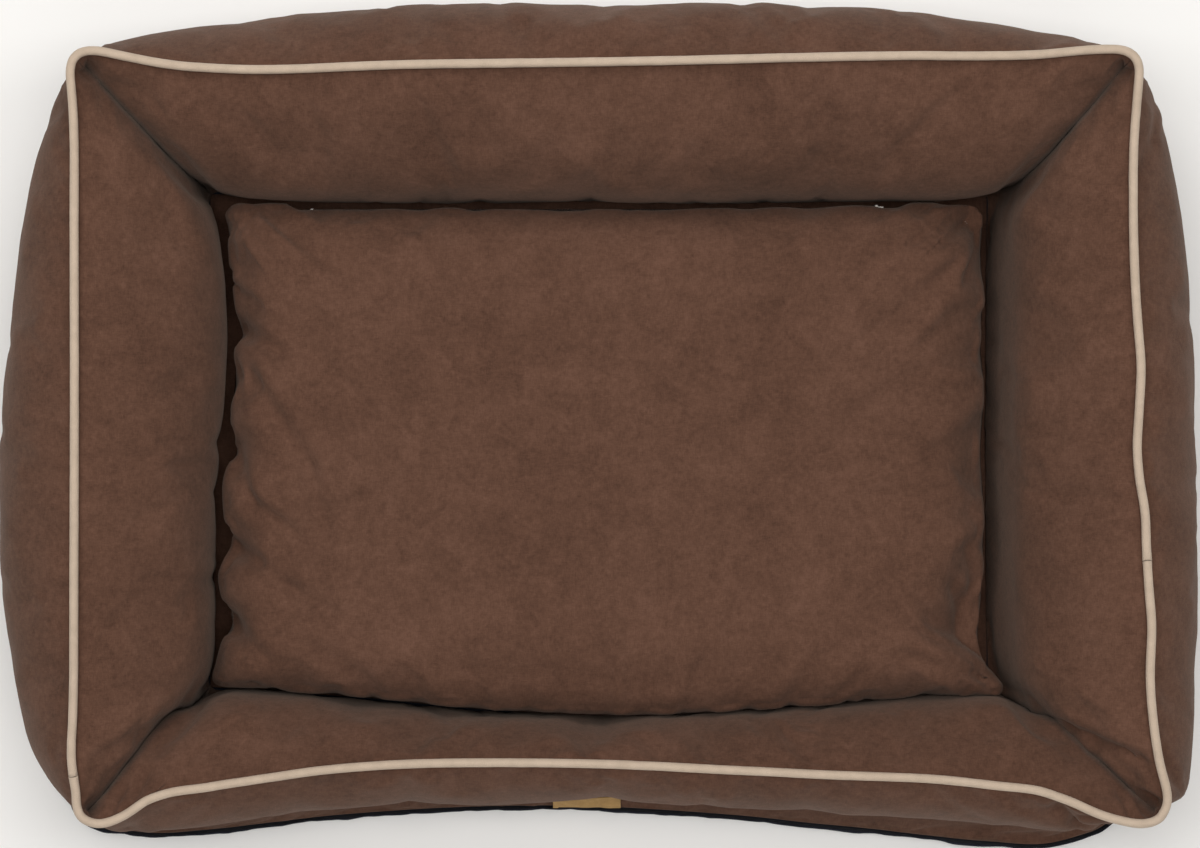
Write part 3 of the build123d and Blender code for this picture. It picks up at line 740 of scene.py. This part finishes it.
SUEDE = suede("micro_suede", (0.062, 0.0285, 0.0175), (0.095, 0.0455, 0.0288), (0.130, 0.065, 0.0435))
PIPING = woven("piping_twill", (0.44, 0.345, 0.262), (0.60, 0.478, 0.372), 11, 0.5, 90, uv=True,
               turn=(0, 0, 0.8), sheen=0.15)
BASE_CLOTH = woven("base_weave", (0.006, 0.007, 0.012), (0.022, 0.025, 0.040), 900, 0.8, 30)
LABEL_CLOTH = woven("label_weave", (0.30, 0.17, 0.055), (0.58, 0.37, 0.15), 1100, 0.7, 120, bend=0.0)
TAPE_CLOTH = woven("zip_tape_weave", (0.030, 0.016, 0.011), (0.072, 0.042, 0.030), 1500, 0.7, 90)
COIL = woven("zip_coil_nylon", (0.020, 0.012, 0.009), (0.050, 0.032, 0.024), 2600, 0.4, 200)
METAL = metal("zip_metal", (0.10, 0.092, 0.085), (0.21, 0.195, 0.18))
STUFFING = fibre_fill("polyester_fibre", (0.62, 0.61, 0.58), (0.86, 0.86, 0.84))
CORD = woven("filler_cord_cotton", (0.55, 0.52, 0.45), (0.80, 0.77, 0.70), 1800, 0.8, 150)


def settle_piece(piece, material, body, slot, *nodes, fill=None):
    piece.data.materials.append(material)
    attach(piece, body)
    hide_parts(*nodes)


# ---------------------------------------------------------------- the ring's walls and stuffing

# Thickness of the wall's cloth, and the lowest that its outside comes
WALL, LOWEST = 1.4, 3.6
WALLS = {}
for i, side in enumerate(ORDER):
    strip = ring[:LAST_ROW + 1][:, side_columns(side)]
    for kind, part in (("outer", strip[:RIDGE_ROW + 1]), ("inner", strip[RIDGE_ROW:])):
        fine = refine(refine(part, 1, 2), 0, 2)
        height = relief(fine, FOLDS[kind + "_" + side], 40 + 10 * i + (5 if kind == "inner" else 0),
                        INNER_SLIT if kind == "inner" else OUTER_SLIT)
        WALLS[kind, side] = fine + grid_normals(fine) * height[..., None]
        WALLS[kind, side][..., 2] = np.maximum(WALLS[kind, side][..., 2], LOWEST)


def keep_seams_shut():
    """Neighbouring walls meet in one line at the mitres and along the ridge."""
    for i, side in enumerate(ORDER):
        after = ORDER[(i + 1) % 4]
        for kind in ("outer", "inner"):
            middle = (WALLS[kind, side][:, -1] + WALLS[kind, after][:, 0]) / 2
            WALLS[kind, side][:, -1] = WALLS[kind, after][:, 0] = middle
        ridge = (WALLS["outer", side][-1] + WALLS["inner", side][0]) / 2
        WALLS["outer", side][-1] = WALLS["inner", side][0] = ridge


keep_seams_shut()
for (kind, side), fine in WALLS.items():
    piece = thick_grid(f"{kind}_wall_{side}_cover", fine, fine - grid_normals(fine) * WALL)
    settle_piece(piece, SUEDE, "bed", "cover_fabric", f"{kind}_wall_{side}", fill=0.8)


def closed_bar(name, sections):
    """A closed piece from a row of closed sections: array of sections x points x 3."""
    count, around = sections.shape[:2]
    points = np.concatenate([sections.reshape(-1, 3), sections[0].mean(0)[None], sections[-1].mean(0)[None]])
    faces = []
    for i in range(count - 1):
        for k in range(around):
            a, b = i * around + k, i * around + (k + 1) % around
            faces.append((a, a + around, b + around, b))
    for k in range(around):
        faces.append((k, (k + 1) % around, count * around))
        last = (count - 1) * around
        faces.append((last + (k + 1) % around, last + k, count * around + 1))
    return new_object(name, points, faces)


ROLL_INSET = 4.0
for i, side in enumerate(ORDER):
    section = np.concatenate([WALLS["outer", side][::2, ::2], WALLS["inner", side][2::2, ::2]])
    normal = soften(grid_normals(section), 2, wrap_rows=False)
    lump = 0.7 * wobble(section[..., 0] / 30, section[..., 1] / 30, section[..., 2] / 30, 90 + i)
    _, _, to_start, to_end = edge_distances(section)
    deeper = 10 * np.exp(-np.minimum(to_start, to_end) / 14)
    inset = section - normal * (ROLL_INSET + lump + deeper)[..., None]
    lowered = inset.copy()
    lowered[1:-1] = np.minimum(inset[1:-1], (inset[:-2] + inset[2:]) / 2 + [9, 9, 0])
    inset[..., 2] = lowered[..., 2] - (16 * np.exp(-np.minimum(to_start, to_end) / 24)
                                       * smooth((section[..., 2] - 110) / 50))
    inset[RIDGE_ROW] = (inset[RIDGE_ROW - 1] + inset[RIDGE_ROW + 1]) / 2 - [0, 0, 1]
    inset[0, :, :2] = section[0, :, :2] - np.array(SIDES[side][0]) * 8.0
    inset[0, :, 2] = 15.5
    inset[LAST_ROW, :, 2] = 3.4
    below_rows = []
    for r in range(1, ROWS_UNDER):
        f = r / ROWS_UNDER
        row = inset[LAST_ROW] * (1 - f) + inset[0] * f
        row[:, 2] = 2.7
        below_rows.append(row)
    inset = np.concatenate([inset, np.array(below_rows)])[:, 4:-4]
    roll = closed_bar(f"roll_{side}_stuffing", inset.transpose(1, 0, 2)[:, ::-1])
    settle_piece(roll, STUFFING, "bed", "stuffing", f"bolster_roll_{side}", fill=0.8)

# ---------------------------------------------------------------- piping and its filler cord


def resample(path, step):
    d = path_lengths(path)
    n = max(2, int(round(d[-1] / step)))
    at = np.linspace(0, d[-1], n + 1)
    return np.stack([np.interp(at, d, path[:, k]) for k in range(3)], axis=1)


def path_frames(path):
    tangent = np.gradient(path, axis=0)
    tangent /= np.linalg.norm(tangent, axis=1, keepdims=True)
    side = np.cross(tangent, [0, 0, 1.0])
    side /= np.linalg.norm(side, axis=1, keepdims=True)
    return tangent, side, np.cross(side, tangent)


def circles(path, radius, angle):
    """A circle of points round each point of a path."""
    _, side, top = path_frames(path)
    return path[:, None] + radius * (np.cos(angle)[:, None] * side[:, None] + np.sin(angle)[:, None] * top[:, None])


def sweep(name, path, radii, sides, slant=0.0, cell=6.0):
    """A tube, hollow where two radii functions are given, with UVs along and around it."""
    length = path_lengths(path)
    angle = np.linspace(0, 2 * math.pi, sides, endpoint=False)
    around = radii[0](0, 0) * 6.283 / sides / cell
    lean = slant * np.sin(angle)[:, None] * path_frames(path)[0][:, None]
    lean[1:-1] = 0
    n = len(path)
    points, faces, uvs = [], [], []
    for layer, radius in enumerate(radii):
        r = radius(length[:, None], angle[None, :])
        points.append((circles(path, r[..., None], angle) + lean).reshape(-1, 3))
        base = layer * n * sides
        for i in range(n - 1):
            for k in range(sides):
                q = (k + 1) % sides
                here = base + i * sides
                quad = (here + k, here + sides + k, here + sides + q, here + q)
                u0, u1 = length[i] / cell, length[i + 1] / cell
                v0, v1 = k * around, (k + 1) * around
                uv = ((u0, v0), (u1, v0), (u1, v1), (u0, v1))
                faces.append(quad if layer == 0 else quad[::-1])
                uvs.append(uv if layer == 0 else uv[::-1])
    if len(radii) == 2:
        m = n * sides
        for k in range(sides):
            q = (k + 1) % sides
            faces.append((k, q, q + m, k + m))
            last = (n - 1) * sides
            faces.append((last + q, last + k, last + k + m, last + q + m))
            uvs += [((0, 0),) * 4] * 2
    else:
        faces.append(tuple(range(sides)))
        faces.append(tuple((n - 1) * sides + k for k in range(sides - 1, -1, -1)))
        uvs += [((0, 0),) * sides] * 2
    return new_object(name, np.concatenate(points), faces, uvs)


ridge_path = np.concatenate([WALLS["outer", s][-1][:-1] for s in ORDER])
PIPING_RADIUS, COVER = 3.6, 0.7
ridge_path = ridge_path + [0, 0, PIPING_RADIUS + 0.15]
LEFT_JOIN_Y, RIGHT_JOIN_Y = -280.0, -108.0
# The filler cord's three strands: length of one turn, distance from the middle, radius
LAY, STRAND_OFFSET, STRAND_RADIUS = 16, 1.25, 1.3
left_cut = int(np.argmin(np.abs(ridge_path[:, 1] - LEFT_JOIN_Y) + 10 * (ridge_path[:, 0] > -380)))
right_cut = int(np.argmin(np.abs(ridge_path[:, 1] - RIGHT_JOIN_Y) + 10 * (ridge_path[:, 0] < 380)))
runs = {"rear": np.roll(ridge_path, -right_cut, 0)[:(left_cut - right_cut) % len(ridge_path) + 1],
        "front": np.roll(ridge_path, -left_cut, 0)[:(right_cut - left_cut) % len(ridge_path) + 1]}


def trimmed(path, gap):
    """The path with its two ends drawn back by gap."""
    tangent, _, _ = path_frames(path)
    path = path.copy()
    path[0] += tangent[0] * gap
    path[-1] -= tangent[-1] * gap
    return path


for i, (run, path) in enumerate(runs.items()):
    path = trimmed(resample(path, 3.0), 0.25)
    total = path_lengths(path)[-1]

    def cover_radius(s, a, seed=i, total=total):
        ends = np.exp(-np.minimum(s, total - s) / 4.0)
        return (PIPING_RADIUS + 0.10 * wobble(s / 14.0, a, 0.2, 60 + seed)
                + 0.05 * wobble(s / 4.0, a * 2, 0.7, 62 + seed) + 0.25 * ends)

    def lining_radius(s, a):
        return PIPING_RADIUS - COVER + 0 * s + 0 * a

    cover = sweep(f"piping_{run}_bias_cover", path, (cover_radius, lining_radius), 20, slant=0.8)
    settle_piece(cover, PIPING, "bed", "piping_fabric", f"piping_cover_{run}")

    core = resample(trimmed(path, 1.2), 2.0)
    _, side_way, top_way = path_frames(core)
    along = path_lengths(core)
    strands = []
    for k in range(3):
        turn = along / LAY * 2 * math.pi + k * 2 * math.pi / 3
        strand = core + STRAND_OFFSET * (np.cos(turn)[:, None] * side_way + np.sin(turn)[:, None] * top_way)
        strands.append(sweep(f"piping_{run}_cord_strand_{k + 1}", strand,
                             (lambda s, a: STRAND_RADIUS + 0 * s + 0 * a,), 8))
    for strand in strands:
        settle_piece(strand, CORD, "bed", "filler_cord", f"piping_cord_{run}")

# ---------------------------------------------------------------- base, floor lining and label

foot_loop = np.concatenate([WALLS["outer", s][0][:-1] for s in ORDER])
foot_side = np.repeat(ORDER, [WALLS["outer", s].shape[1] - 1 for s in ORDER])
foot_along = path_lengths(foot_loop)
tangent = np.roll(foot_loop, -1, 0) - np.roll(foot_loop, 1, 0)
tangent[:, 2] = 0
tangent /= np.linalg.norm(tangent, axis=1, keepdims=True)
outward = np.cross(tangent, [0, 0, 1.0])
ZIP_HALF = 303.0
zip_gap = (foot_side == "back") & (np.abs(foot_loop[:, 0]) < ZIP_HALF)
scallop = (foot_loop[:, 1] < -300) * (0.9 * wobble(foot_along / 19, 0.5, 0.1, 71)
                                      + 0.7 * wobble(foot_along / 8, 0.5, 0.1, 72))
BASE_THICKNESS = 2.0
# Rows of the base's turned-up rim: how far outward of the foot line, height, and share of the scallops
RIM_OUTSIDE = [(0.5, 13.9, 1.3), (1.0, 11.5, 1.2), (0.9, 7, 0.8), (0.4, 2.6, 0.3), (-0.8, 0.8, 0), (-3, 0.02, 0)]
RIM_INSIDE = [(-4.5, BASE_THICKNESS, 0), (-2.6, 2.6, 0), (-1.2, 5, 0), (-0.7, 11, 0), (-0.75, 13.9, 1)]
# Rows of its floor, as shares of the way out from the middle
FLOOR_SHARES = (0.97, 0.9, 0.75, 0.5, 0.25)


def base_layers():
    """Rows of the base's outer face from the rim's top edge to the middle, then of its inner face back up."""
    standing_out = 3.5 * smooth((-302 - foot_loop[:, 1]) / 30)
    flat = foot_loop * [1, 1, 0] + outward * standing_out[:, None]

    def rim(rows):
        return [flat + outward * (out + scallop * share)[:, None] + [0, 0, z] for out, z, share in rows]

    outside = rim(RIM_OUTSIDE) + [flat * f for f in FLOOR_SHARES]
    inside = [flat * f + [0, 0, BASE_THICKNESS] for f in FLOOR_SHARES[::-1]] + rim(RIM_INSIDE)
    layers = np.array(outside + inside)
    # Behind, the rim keeps out of the way of the zip's pull, and lies down below the zip
    limit = 316.4 + 8 * smooth((np.abs(foot_loop[:, 0]) - 328) / 24)
    behind = foot_side == "back"
    layers[:, behind, 1] = np.minimum(layers[:, behind, 1], limit[behind])
    low = layers[..., 2]
    low[:, zip_gap] = np.minimum(low[:, zip_gap], np.linspace(BASE_THICKNESS, 1.9, len(layers))[:, None])
    return layers, len(outside)


layers, split = base_layers()
count = layers.shape[1]
n_layers = len(layers)
points = np.concatenate([layers.reshape(-1, 3), [[0, -15, 0], [0, -15, BASE_THICKNESS]]])
faces = []
for r in [*range(split - 1), *range(split, n_layers)]:
    a0, b0 = r * count, (r + 1) % n_layers * count
    faces += [(a0 + c, a0 + (c + 1) % count, b0 + (c + 1) % count, b0 + c)[::-1] for c in range(count)]
for c in range(count):
    faces.append((count * n_layers, (split - 1) * count + (c + 1) % count, (split - 1) * count + c))
    faces.append((count * n_layers + 1, split * count + c, split * count + (c + 1) % count))
base = new_object("base_cloth", points, faces)
settle_piece(base, BASE_CLOTH, "bed", "base_fabric", "base_panel")


low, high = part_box("base_panel")

low, high = (np.array(v) * 1000 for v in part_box("floor_lining"))
xs, ys = np.meshgrid(np.linspace(low[0], high[0], 84), np.linspace(low[1], high[1], 54))
front_line = np.interp(xs, [-334, 0, 334], [-228, -251, -228]) + 2
ys = front_line + (ys - low[1]) / (high[1] - low[1]) * (high[1] - 1 - front_line)
rise = 1.0 + 0.9 * wobble(xs / 60, ys / 60, 0, 81) + 0.25 * wobble(xs / 18, ys / 18, 0, 82)
edge = smooth(np.minimum(np.minimum(xs - xs.min(), xs.max() - xs), np.minimum(ys - front_line, high[1] - ys)) / 30)
lining_top = np.stack([xs, ys, high[2] + np.maximum(rise, 0) * edge * 0.6], axis=2)
lining = thick_grid("floor_lining_cloth", lining_top, lining_top - [0, 0, 1.1])
settle_piece(lining, SUEDE, "bed", "cover_fabric", "floor_lining")

front = WALLS["outer", "front"]
low, high = (np.array(v) * 1000 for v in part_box("woven_label"))
label_x = np.linspace(low[0], high[0], 49)
label_z = np.linspace(14.6, 31, 17)
column_x = front[0, :, 0]
label_grid = np.zeros((len(label_z), len(label_x), 3))
for c, x in enumerate(label_x):
    k = int(np.clip(np.searchsorted(column_x, x), 1, len(column_x) - 1))
    f = (x - column_x[k - 1]) / (column_x[k] - column_x[k - 1])
    line = front[:12, k - 1] * (1 - f) + front[:12, k] * f
    label_grid[:, c, 0] = x
    label_grid[:, c, 1] = np.interp(label_z, line[:, 2], line[:, 1])
    label_grid[:, c, 2] = label_z
stiff = np.min([np.roll(label_grid[..., 1], k, 1) for k in range(-4, 5)], axis=0)
stiff = np.min([stiff, np.concatenate([stiff[1:], stiff[-1:]]), np.concatenate([stiff[:1], stiff[:-1]])], axis=0)
label_grid[..., 1] = stiff.mean(1, keepdims=True) * 0.5 + stiff * 0.5
label_grid[..., 1] = np.minimum(label_grid[..., 1], stiff)
label_normal = grid_normals(label_grid)
lift = 1.2 + 0.25 * wobble(label_grid[..., 0] / 9, label_grid[..., 2] / 9, 0, 85)
label_top = label_grid + label_normal * lift[..., None]
label = thick_grid("woven_label_cloth", label_top, label_top - label_normal * 0.7)
settle_piece(label, LABEL_CLOTH, "bed", "label_weave", "woven_label")

# ---------------------------------------------------------------- cushion

SEAM_Z, TOP_Z, BOTTOM_Z = 57.5, 111.0, 3.8
LEFT_EDGE = [(-222, -328), (-206, -321), (-190, -316), (-165, -308), (-148, -316), (-128, -317), (-102, -306),
             (-80, -312), (-50, -313), (-21, -304), (0, -308), (37, -306), (62, -304), (81, -298), (97, -303),
             (130, -307), (180, -314)]
RIGHT_EDGE = [(-224, 341), (-214, 340), (-206, 334), (-196, 325), (-182, 320), (-165, 320), (-145, 322), (-110, 324),
              (-60, 324), (-20, 322), (30, 325), (70, 322), (110, 324), (150, 322), (180, 325)]
FRONT_EDGE = [(-322, -219), (-200, -229), (-100, -238), (0, -243), (35, -243.5), (120, -239), (200, -233), (280, -228),
              (315, -229), (340, -230)]
CUSHION_NX, CUSHION_NY, CORNER = 92, 66, 15.0
u, v = np.meshgrid(np.linspace(-1, 1, CUSHION_NX), np.linspace(-1, 1, CUSHION_NY))
u, v = 1.34 * u - 0.34 * u**3, 1.34 * v - 0.34 * v**3


def rounded(u, v, ru, rv):
    """Moves the corners of the square in on to quarter circles."""
    a, b = (np.abs(u) - (1 - ru)) / ru, (np.abs(v) - (1 - rv)) / rv
    inside = (a > 0) & (b > 0)
    a2 = np.where(inside, a * np.sqrt(np.maximum(1 - b**2 / 2, 0)), a)
    b2 = np.where(inside, b * np.sqrt(np.maximum(1 - a**2 / 2, 0)), b)
    return (np.where(inside, np.sign(u) * (1 - ru + ru * a2), u),
            np.where(inside, np.sign(v) * (1 - rv + rv * b2), v))


HALF_X, HALF_Y = 318.0, 205.0
ru, rv = rounded(u, v, CORNER / HALF_X, CORNER / HALF_Y)


def cushion_face(sign):
    y_plain = -225 + (rv + 1) / 2 * 405
    edge_weight = np.abs(ru)**6
    left = curve(y_plain, LEFT_EDGE) * edge_weight + (1 - edge_weight) * -316
    right = curve(y_plain, RIGHT_EDGE) * edge_weight + (1 - edge_weight) * 320
    x = left + (ru + 1) / 2 * (right - left)
    front_y = curve(x, FRONT_EDGE)
    y = front_y + (rv + 1) / 2 * (180.3 - 2.1 * smooth((262 - np.abs(x)) / 16) - front_y)
    dx, dy = (1 - np.abs(u)) * HALF_X, (1 - np.abs(v)) * HALF_Y

    def rise(d, reach, power=2.3):
        return (1 - np.clip(1 - d / reach, 0, 1)**power)**(1 / power)

    reach_x = np.where(u < 0, 40, 54)
    reach_y = np.where(v < 0, 34, 46)
    rising = rise(dx, reach_x, 2.0) * rise(dy, reach_y)
    seam = SEAM_Z + 22 * np.exp(-((1 + rv) / 0.16)**2) * np.clip(1 - (x / 250)**2, 0, 1)
    target = TOP_Z if sign > 0 else BOTTOM_Z
    z = seam + (target - seam) * rising
    if sign > 0:
        bulge = 4 * rising * (1 - rising)
        y = y + bulge * np.where(v > 0, 10 * smooth(1 - dy / 40), -3.0 * smooth(1 - dy / 30))
        x = x + bulge * np.sign(u) * 3.0 * smooth(1 - dx / 30)
    return np.stack([x, y, z], axis=2)


top_face, bottom_face = cushion_face(1), cushion_face(-1)
n_grid = CUSHION_NX * CUSHION_NY
border = np.zeros((CUSHION_NY, CUSHION_NX), bool)
border[0] = border[-1] = True
border[:, 0] = border[:, -1] = True
own = np.arange(n_grid).reshape(CUSHION_NY, CUSHION_NX)
below = own.copy()
below[~border] = n_grid + np.arange((~border).sum())


def cushion_faces():
    faces = []
    for r in range(CUSHION_NY - 1):
        for c in range(CUSHION_NX - 1):
            faces.append((own[r, c], own[r, c + 1], own[r + 1, c + 1], own[r + 1, c]))
            faces.append((below[r + 1, c], below[r + 1, c + 1], below[r, c + 1], below[r, c]))
    return faces


shell = np.concatenate([top_face.reshape(-1, 3), bottom_face[~border]])
cushion_hold = np.full(len(shell), 0.012)
cushion_hold[own[border]] = 1
settled = settle("cushion_cloth", shell, cushion_faces(), cushion_hold, 0.03, 10)
moved_top = (settled - shell)[:n_grid].reshape(top_face.shape)
moved_bottom = np.zeros_like(moved_top)
moved_bottom[~border] = (settled - shell)[n_grid:]


def tame(moved):
    """What the simulation moved, with its swelling and wrinkles limited and the border left in place."""
    padded = np.concatenate([moved[:, ::-1], moved, moved[:, ::-1]], axis=1)
    broad = soften(padded, 14, wrap_rows=False)[:, CUSHION_NX:2 * CUSHION_NX]
    return (cap(broad, 2.5) + cap((moved - broad) * 1.5, 4.0)) * ~border[..., None]


TOP_FOLDS = [
    (-297, 78, -262, 60, 3.5, 7, 1.5), (-289, 43, -239, -35, 3.2, 9, 1.8), (-239, -35, -225, -88, 2.4, 8, 1.2),
    (-303, -22, -286, -70, 2.5, 7, 1.2), (-290, -60, -250, -92, 2.6, 7, 1.6), (-303, -104, -280, -112, 3.0, 6, 1.5),
    (-285, -114, -250, -138, 2.8, 8, 1.6), (-255, -134, -215, -160, 2.2, 9, 1.0), (-307, -166, -272, -196, 3.2, 8, 1.6),
    (-250, -180, -200, -205, 1.6, 9, 0.8),
    (279, -162, 264, -134, 2.4, 10, 1.4), (250, -190, 320, -211, 3.0, 7, 2.0), (296, -135, 307, -172, 2.4, 6, 1.2),
    (309, -100, 318, -150, 2.4, 6, 1.0), (225, -150, 283, -168, 2.0, 12, 1.0), (235, -60, 300, -110, 1.6, 12, 0.8),
    (322, 60, 290, 48, 2.2, 8, 1.0), (150, 120, 240, 60, 0.9, 16, 0.4), (-180, 40, -120, -40, 0.9, 16, 0.4),
    (-150, -200, 60, -214, 1.3, 12, 0.6), (60, -205, 190, -190, 1.2, 12, 0.6), (300, 172, 262, 150, 2.5, 9, 1.2),
]


# Where the cushion's top sinks in: x, y, radii in x and y, depth, and a line that bounds it or None
SINKS = [
    (-300, 81, 16, 9, 16, None), (-304, -20, 15, 14, 14, None), (-305, -100, 15, 12, 16, None),
    (-308, -163, 14, 11, 16, None), (318, 170, 26, 22, 22, None),
    (322, -172, 36, 40, 46, (262, -158, 340, -208)), (312, -40, 14, 40, 7, None),
]


def sink(shape):
    out = shape.copy()
    x, y = shape[..., 0], shape[..., 1]
    for cx, cy, rx, ry, depth, line in SINKS:
        g = np.exp(-((x - cx) / rx)**2 - ((y - cy) / ry)**2)
        if line:
            a, b = np.array(line[:2], float), np.array(line[2:], float)
            m = (b - a) / np.linalg.norm(b - a)
            side = (x - a[0]) * -m[1] + (y - a[1]) * m[0]
            g = g * smooth(side / 7 + 0.5)
        out[..., 2] -= np.minimum(depth * g, np.maximum(out[..., 2] - SEAM_Z - 4, 0) * 0.9)
    return out


def cushion_panel(face, moved, sign, folds, seed):
    """The top (sign 1) or bottom (-1) of the cushion with its sunk places, lumps, folds and puckers."""
    shape = refine(refine(face + tame(moved), 1, 2), 0, 2)
    if sign > 0:
        shape = sink(shape)
    normal = grid_normals(shape) * sign
    top, bottom, start, end = edge_distances(shape)
    to_seam = np.minimum(np.minimum(top, bottom), np.minimum(start, end))
    away = 1 - np.exp(-to_seam / 10)
    x, y = shape[..., 0], shape[..., 1]
    height = away * lumps(x, y, 0, ((1.6, 120, 1), (0.9, 47, 1), (0.35, 19, 1)), seed)
    height += 1.5 * away * fold_field(shape, folds)
    for d, s, size in ((top, start, 0.5), (bottom, start, 1.3), (start, top, 0.8), (end, top, 0.9)):
        near = (1 - np.exp(-d / 3)) * np.exp(-d / 16)
        height += size * near * (1.5 * wobble(s / 13, d / 60, 0.5, seed + 3)
                                 + 1.0 * wobble(s / 34, 0.3, 0.1, seed + 4))
    return shape + normal * height[..., None]


def ring_tree():
    points, polygons, start = [], [], 0
    for fine in WALLS.values():
        points += fine.reshape(-1, 3).tolist()
        polygons += grid_faces(*fine.shape[:2], start=start)
        start += fine.shape[0] * fine.shape[1]
    return BVHTree.FromPolygons(points, polygons)


def clear_of_ring(grid, tree, gap):
    """Moves points that come nearer the ring's fabric than gap back into the nest."""
    out = grid.copy()
    for r in range(grid.shape[0]):
        for c in range(grid.shape[1]):
            near, normal, _, d = tree.find_nearest(Vector(out[r, c]), 40)
            if near is None:
                continue
            depth = (Vector(out[r, c]) - near).dot(normal)
            if depth < gap:
                out[r, c] = np.array(near + normal * gap)
    return out


tree = ring_tree()
top_panel = cushion_panel(top_face, moved_top, 1, TOP_FOLDS, 110)
bottom_panel = cushion_panel(bottom_face, moved_bottom, -1, [], 130)
bottom_panel[..., 2] = np.maximum(bottom_panel[..., 2], 4.9)
top_panel, bottom_panel = clear_of_ring(top_panel, tree, 1.0), clear_of_ring(bottom_panel, tree, 1.0)
for edge in (np.s_[0], np.s_[-1], np.s_[:, 0], np.s_[:, -1]):
    middle = (top_panel[edge] + bottom_panel[edge]) / 2
    top_panel[edge] = bottom_panel[edge] = middle
top_cover = thick_grid("cushion_top_cloth", top_panel, top_panel - grid_normals(top_panel) * WALL)
bottom_flip = bottom_panel[::-1]
bottom_cover = thick_grid("cushion_bottom_cloth", bottom_flip, bottom_flip - grid_normals(bottom_flip) * WALL)
settle_piece(top_cover, SUEDE, "cushion", "cover_fabric", "cushion_top_cover", fill=0.75)
settle_piece(bottom_cover, SUEDE, "cushion", "cover_fabric", "cushion_bottom_cover", fill=0.75)

coarse_top, coarse_bottom = top_panel[::2, ::2], bottom_panel[::2, ::2]
fill_top = coarse_top - grid_normals(coarse_top) * 5.0
fill_bottom = coarse_bottom + grid_normals(coarse_bottom) * 4.0
lowest = fill_top[..., 2].copy()
for dr in (-1, 0, 1):
    for dc in (-1, 0, 1):
        lowest = np.minimum(lowest, np.roll(fill_top[..., 2], (dr, dc), (0, 1)))
fill_top[3:-3, 3:-3, 2] = lowest[3:-3, 3:-3]
fill_shell = np.concatenate([((fill_top + fill_bottom) / 2 * border[..., None]
                              + fill_top * ~border[..., None]).reshape(-1, 3), fill_bottom[~border]])
fill_shell = (fill_shell - [0, -25, 0]) * [0.976, 0.968, 1] + [0, -25, 0]
filling = new_object("cushion_stuffing", fill_shell, cushion_faces())
settle_piece(filling, STUFFING, "cushion", "stuffing", "cushion_filling", fill=0.75)

# ---------------------------------------------------------------- zips and the rest

ZIP_FINISH = {"tape": TAPE_CLOTH, "coil": COIL, "stops": METAL, "slider": METAL, "pull": METAL}
for node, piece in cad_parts.items():
    for part, finish in ZIP_FINISH.items():
        if node.endswith("zip_" + part):
            piece.data.materials.clear()
            piece.data.materials.append(finish)


def zip_chain(node, body):
    """The closed chain as two nylon coils that mesh along the middle, in the space of its plain CAD bar."""
    low, high = (np.array(v) * 1000 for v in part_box(node))
    middle, half = (low + high) / 2, (high - low) / 2
    pitch, wire, steps, sides = 2.4, 0.55, 8, 5
    turns = int((high[0] - low[0] - 2 * wire) / pitch)
    angle = np.arange(turns * steps + 1) * 2 * math.pi / steps
    around = np.linspace(0, 2 * math.pi, sides, endpoint=False)
    for k, z_sign in enumerate((-1, 1)):
        x = low[0] + wire + pitch * (angle / (2 * math.pi)) + (0.5 * pitch - 0.6) * k
        reach = half[2] * 0.5 + 0.15
        z = middle[2] + z_sign * (half[2] - wire - reach + (reach - 0.05) * np.cos(angle))
        y = middle[1] + (half[1] - wire) * np.sin(angle)
        rings = circles(np.stack([x, y, z], axis=1), wire, around)
        rings[..., 0] = np.clip(rings[..., 0], low[0], high[0])
        piece = closed_bar(f"{node}_coil_{k + 1}", rings[:, ::-1])
        settle_piece(piece, COIL, body, "zip_coil", node)


zip_chain("cushion_zip_coil", "cushion")
zip_chain("foot_zip_coil", "bed")
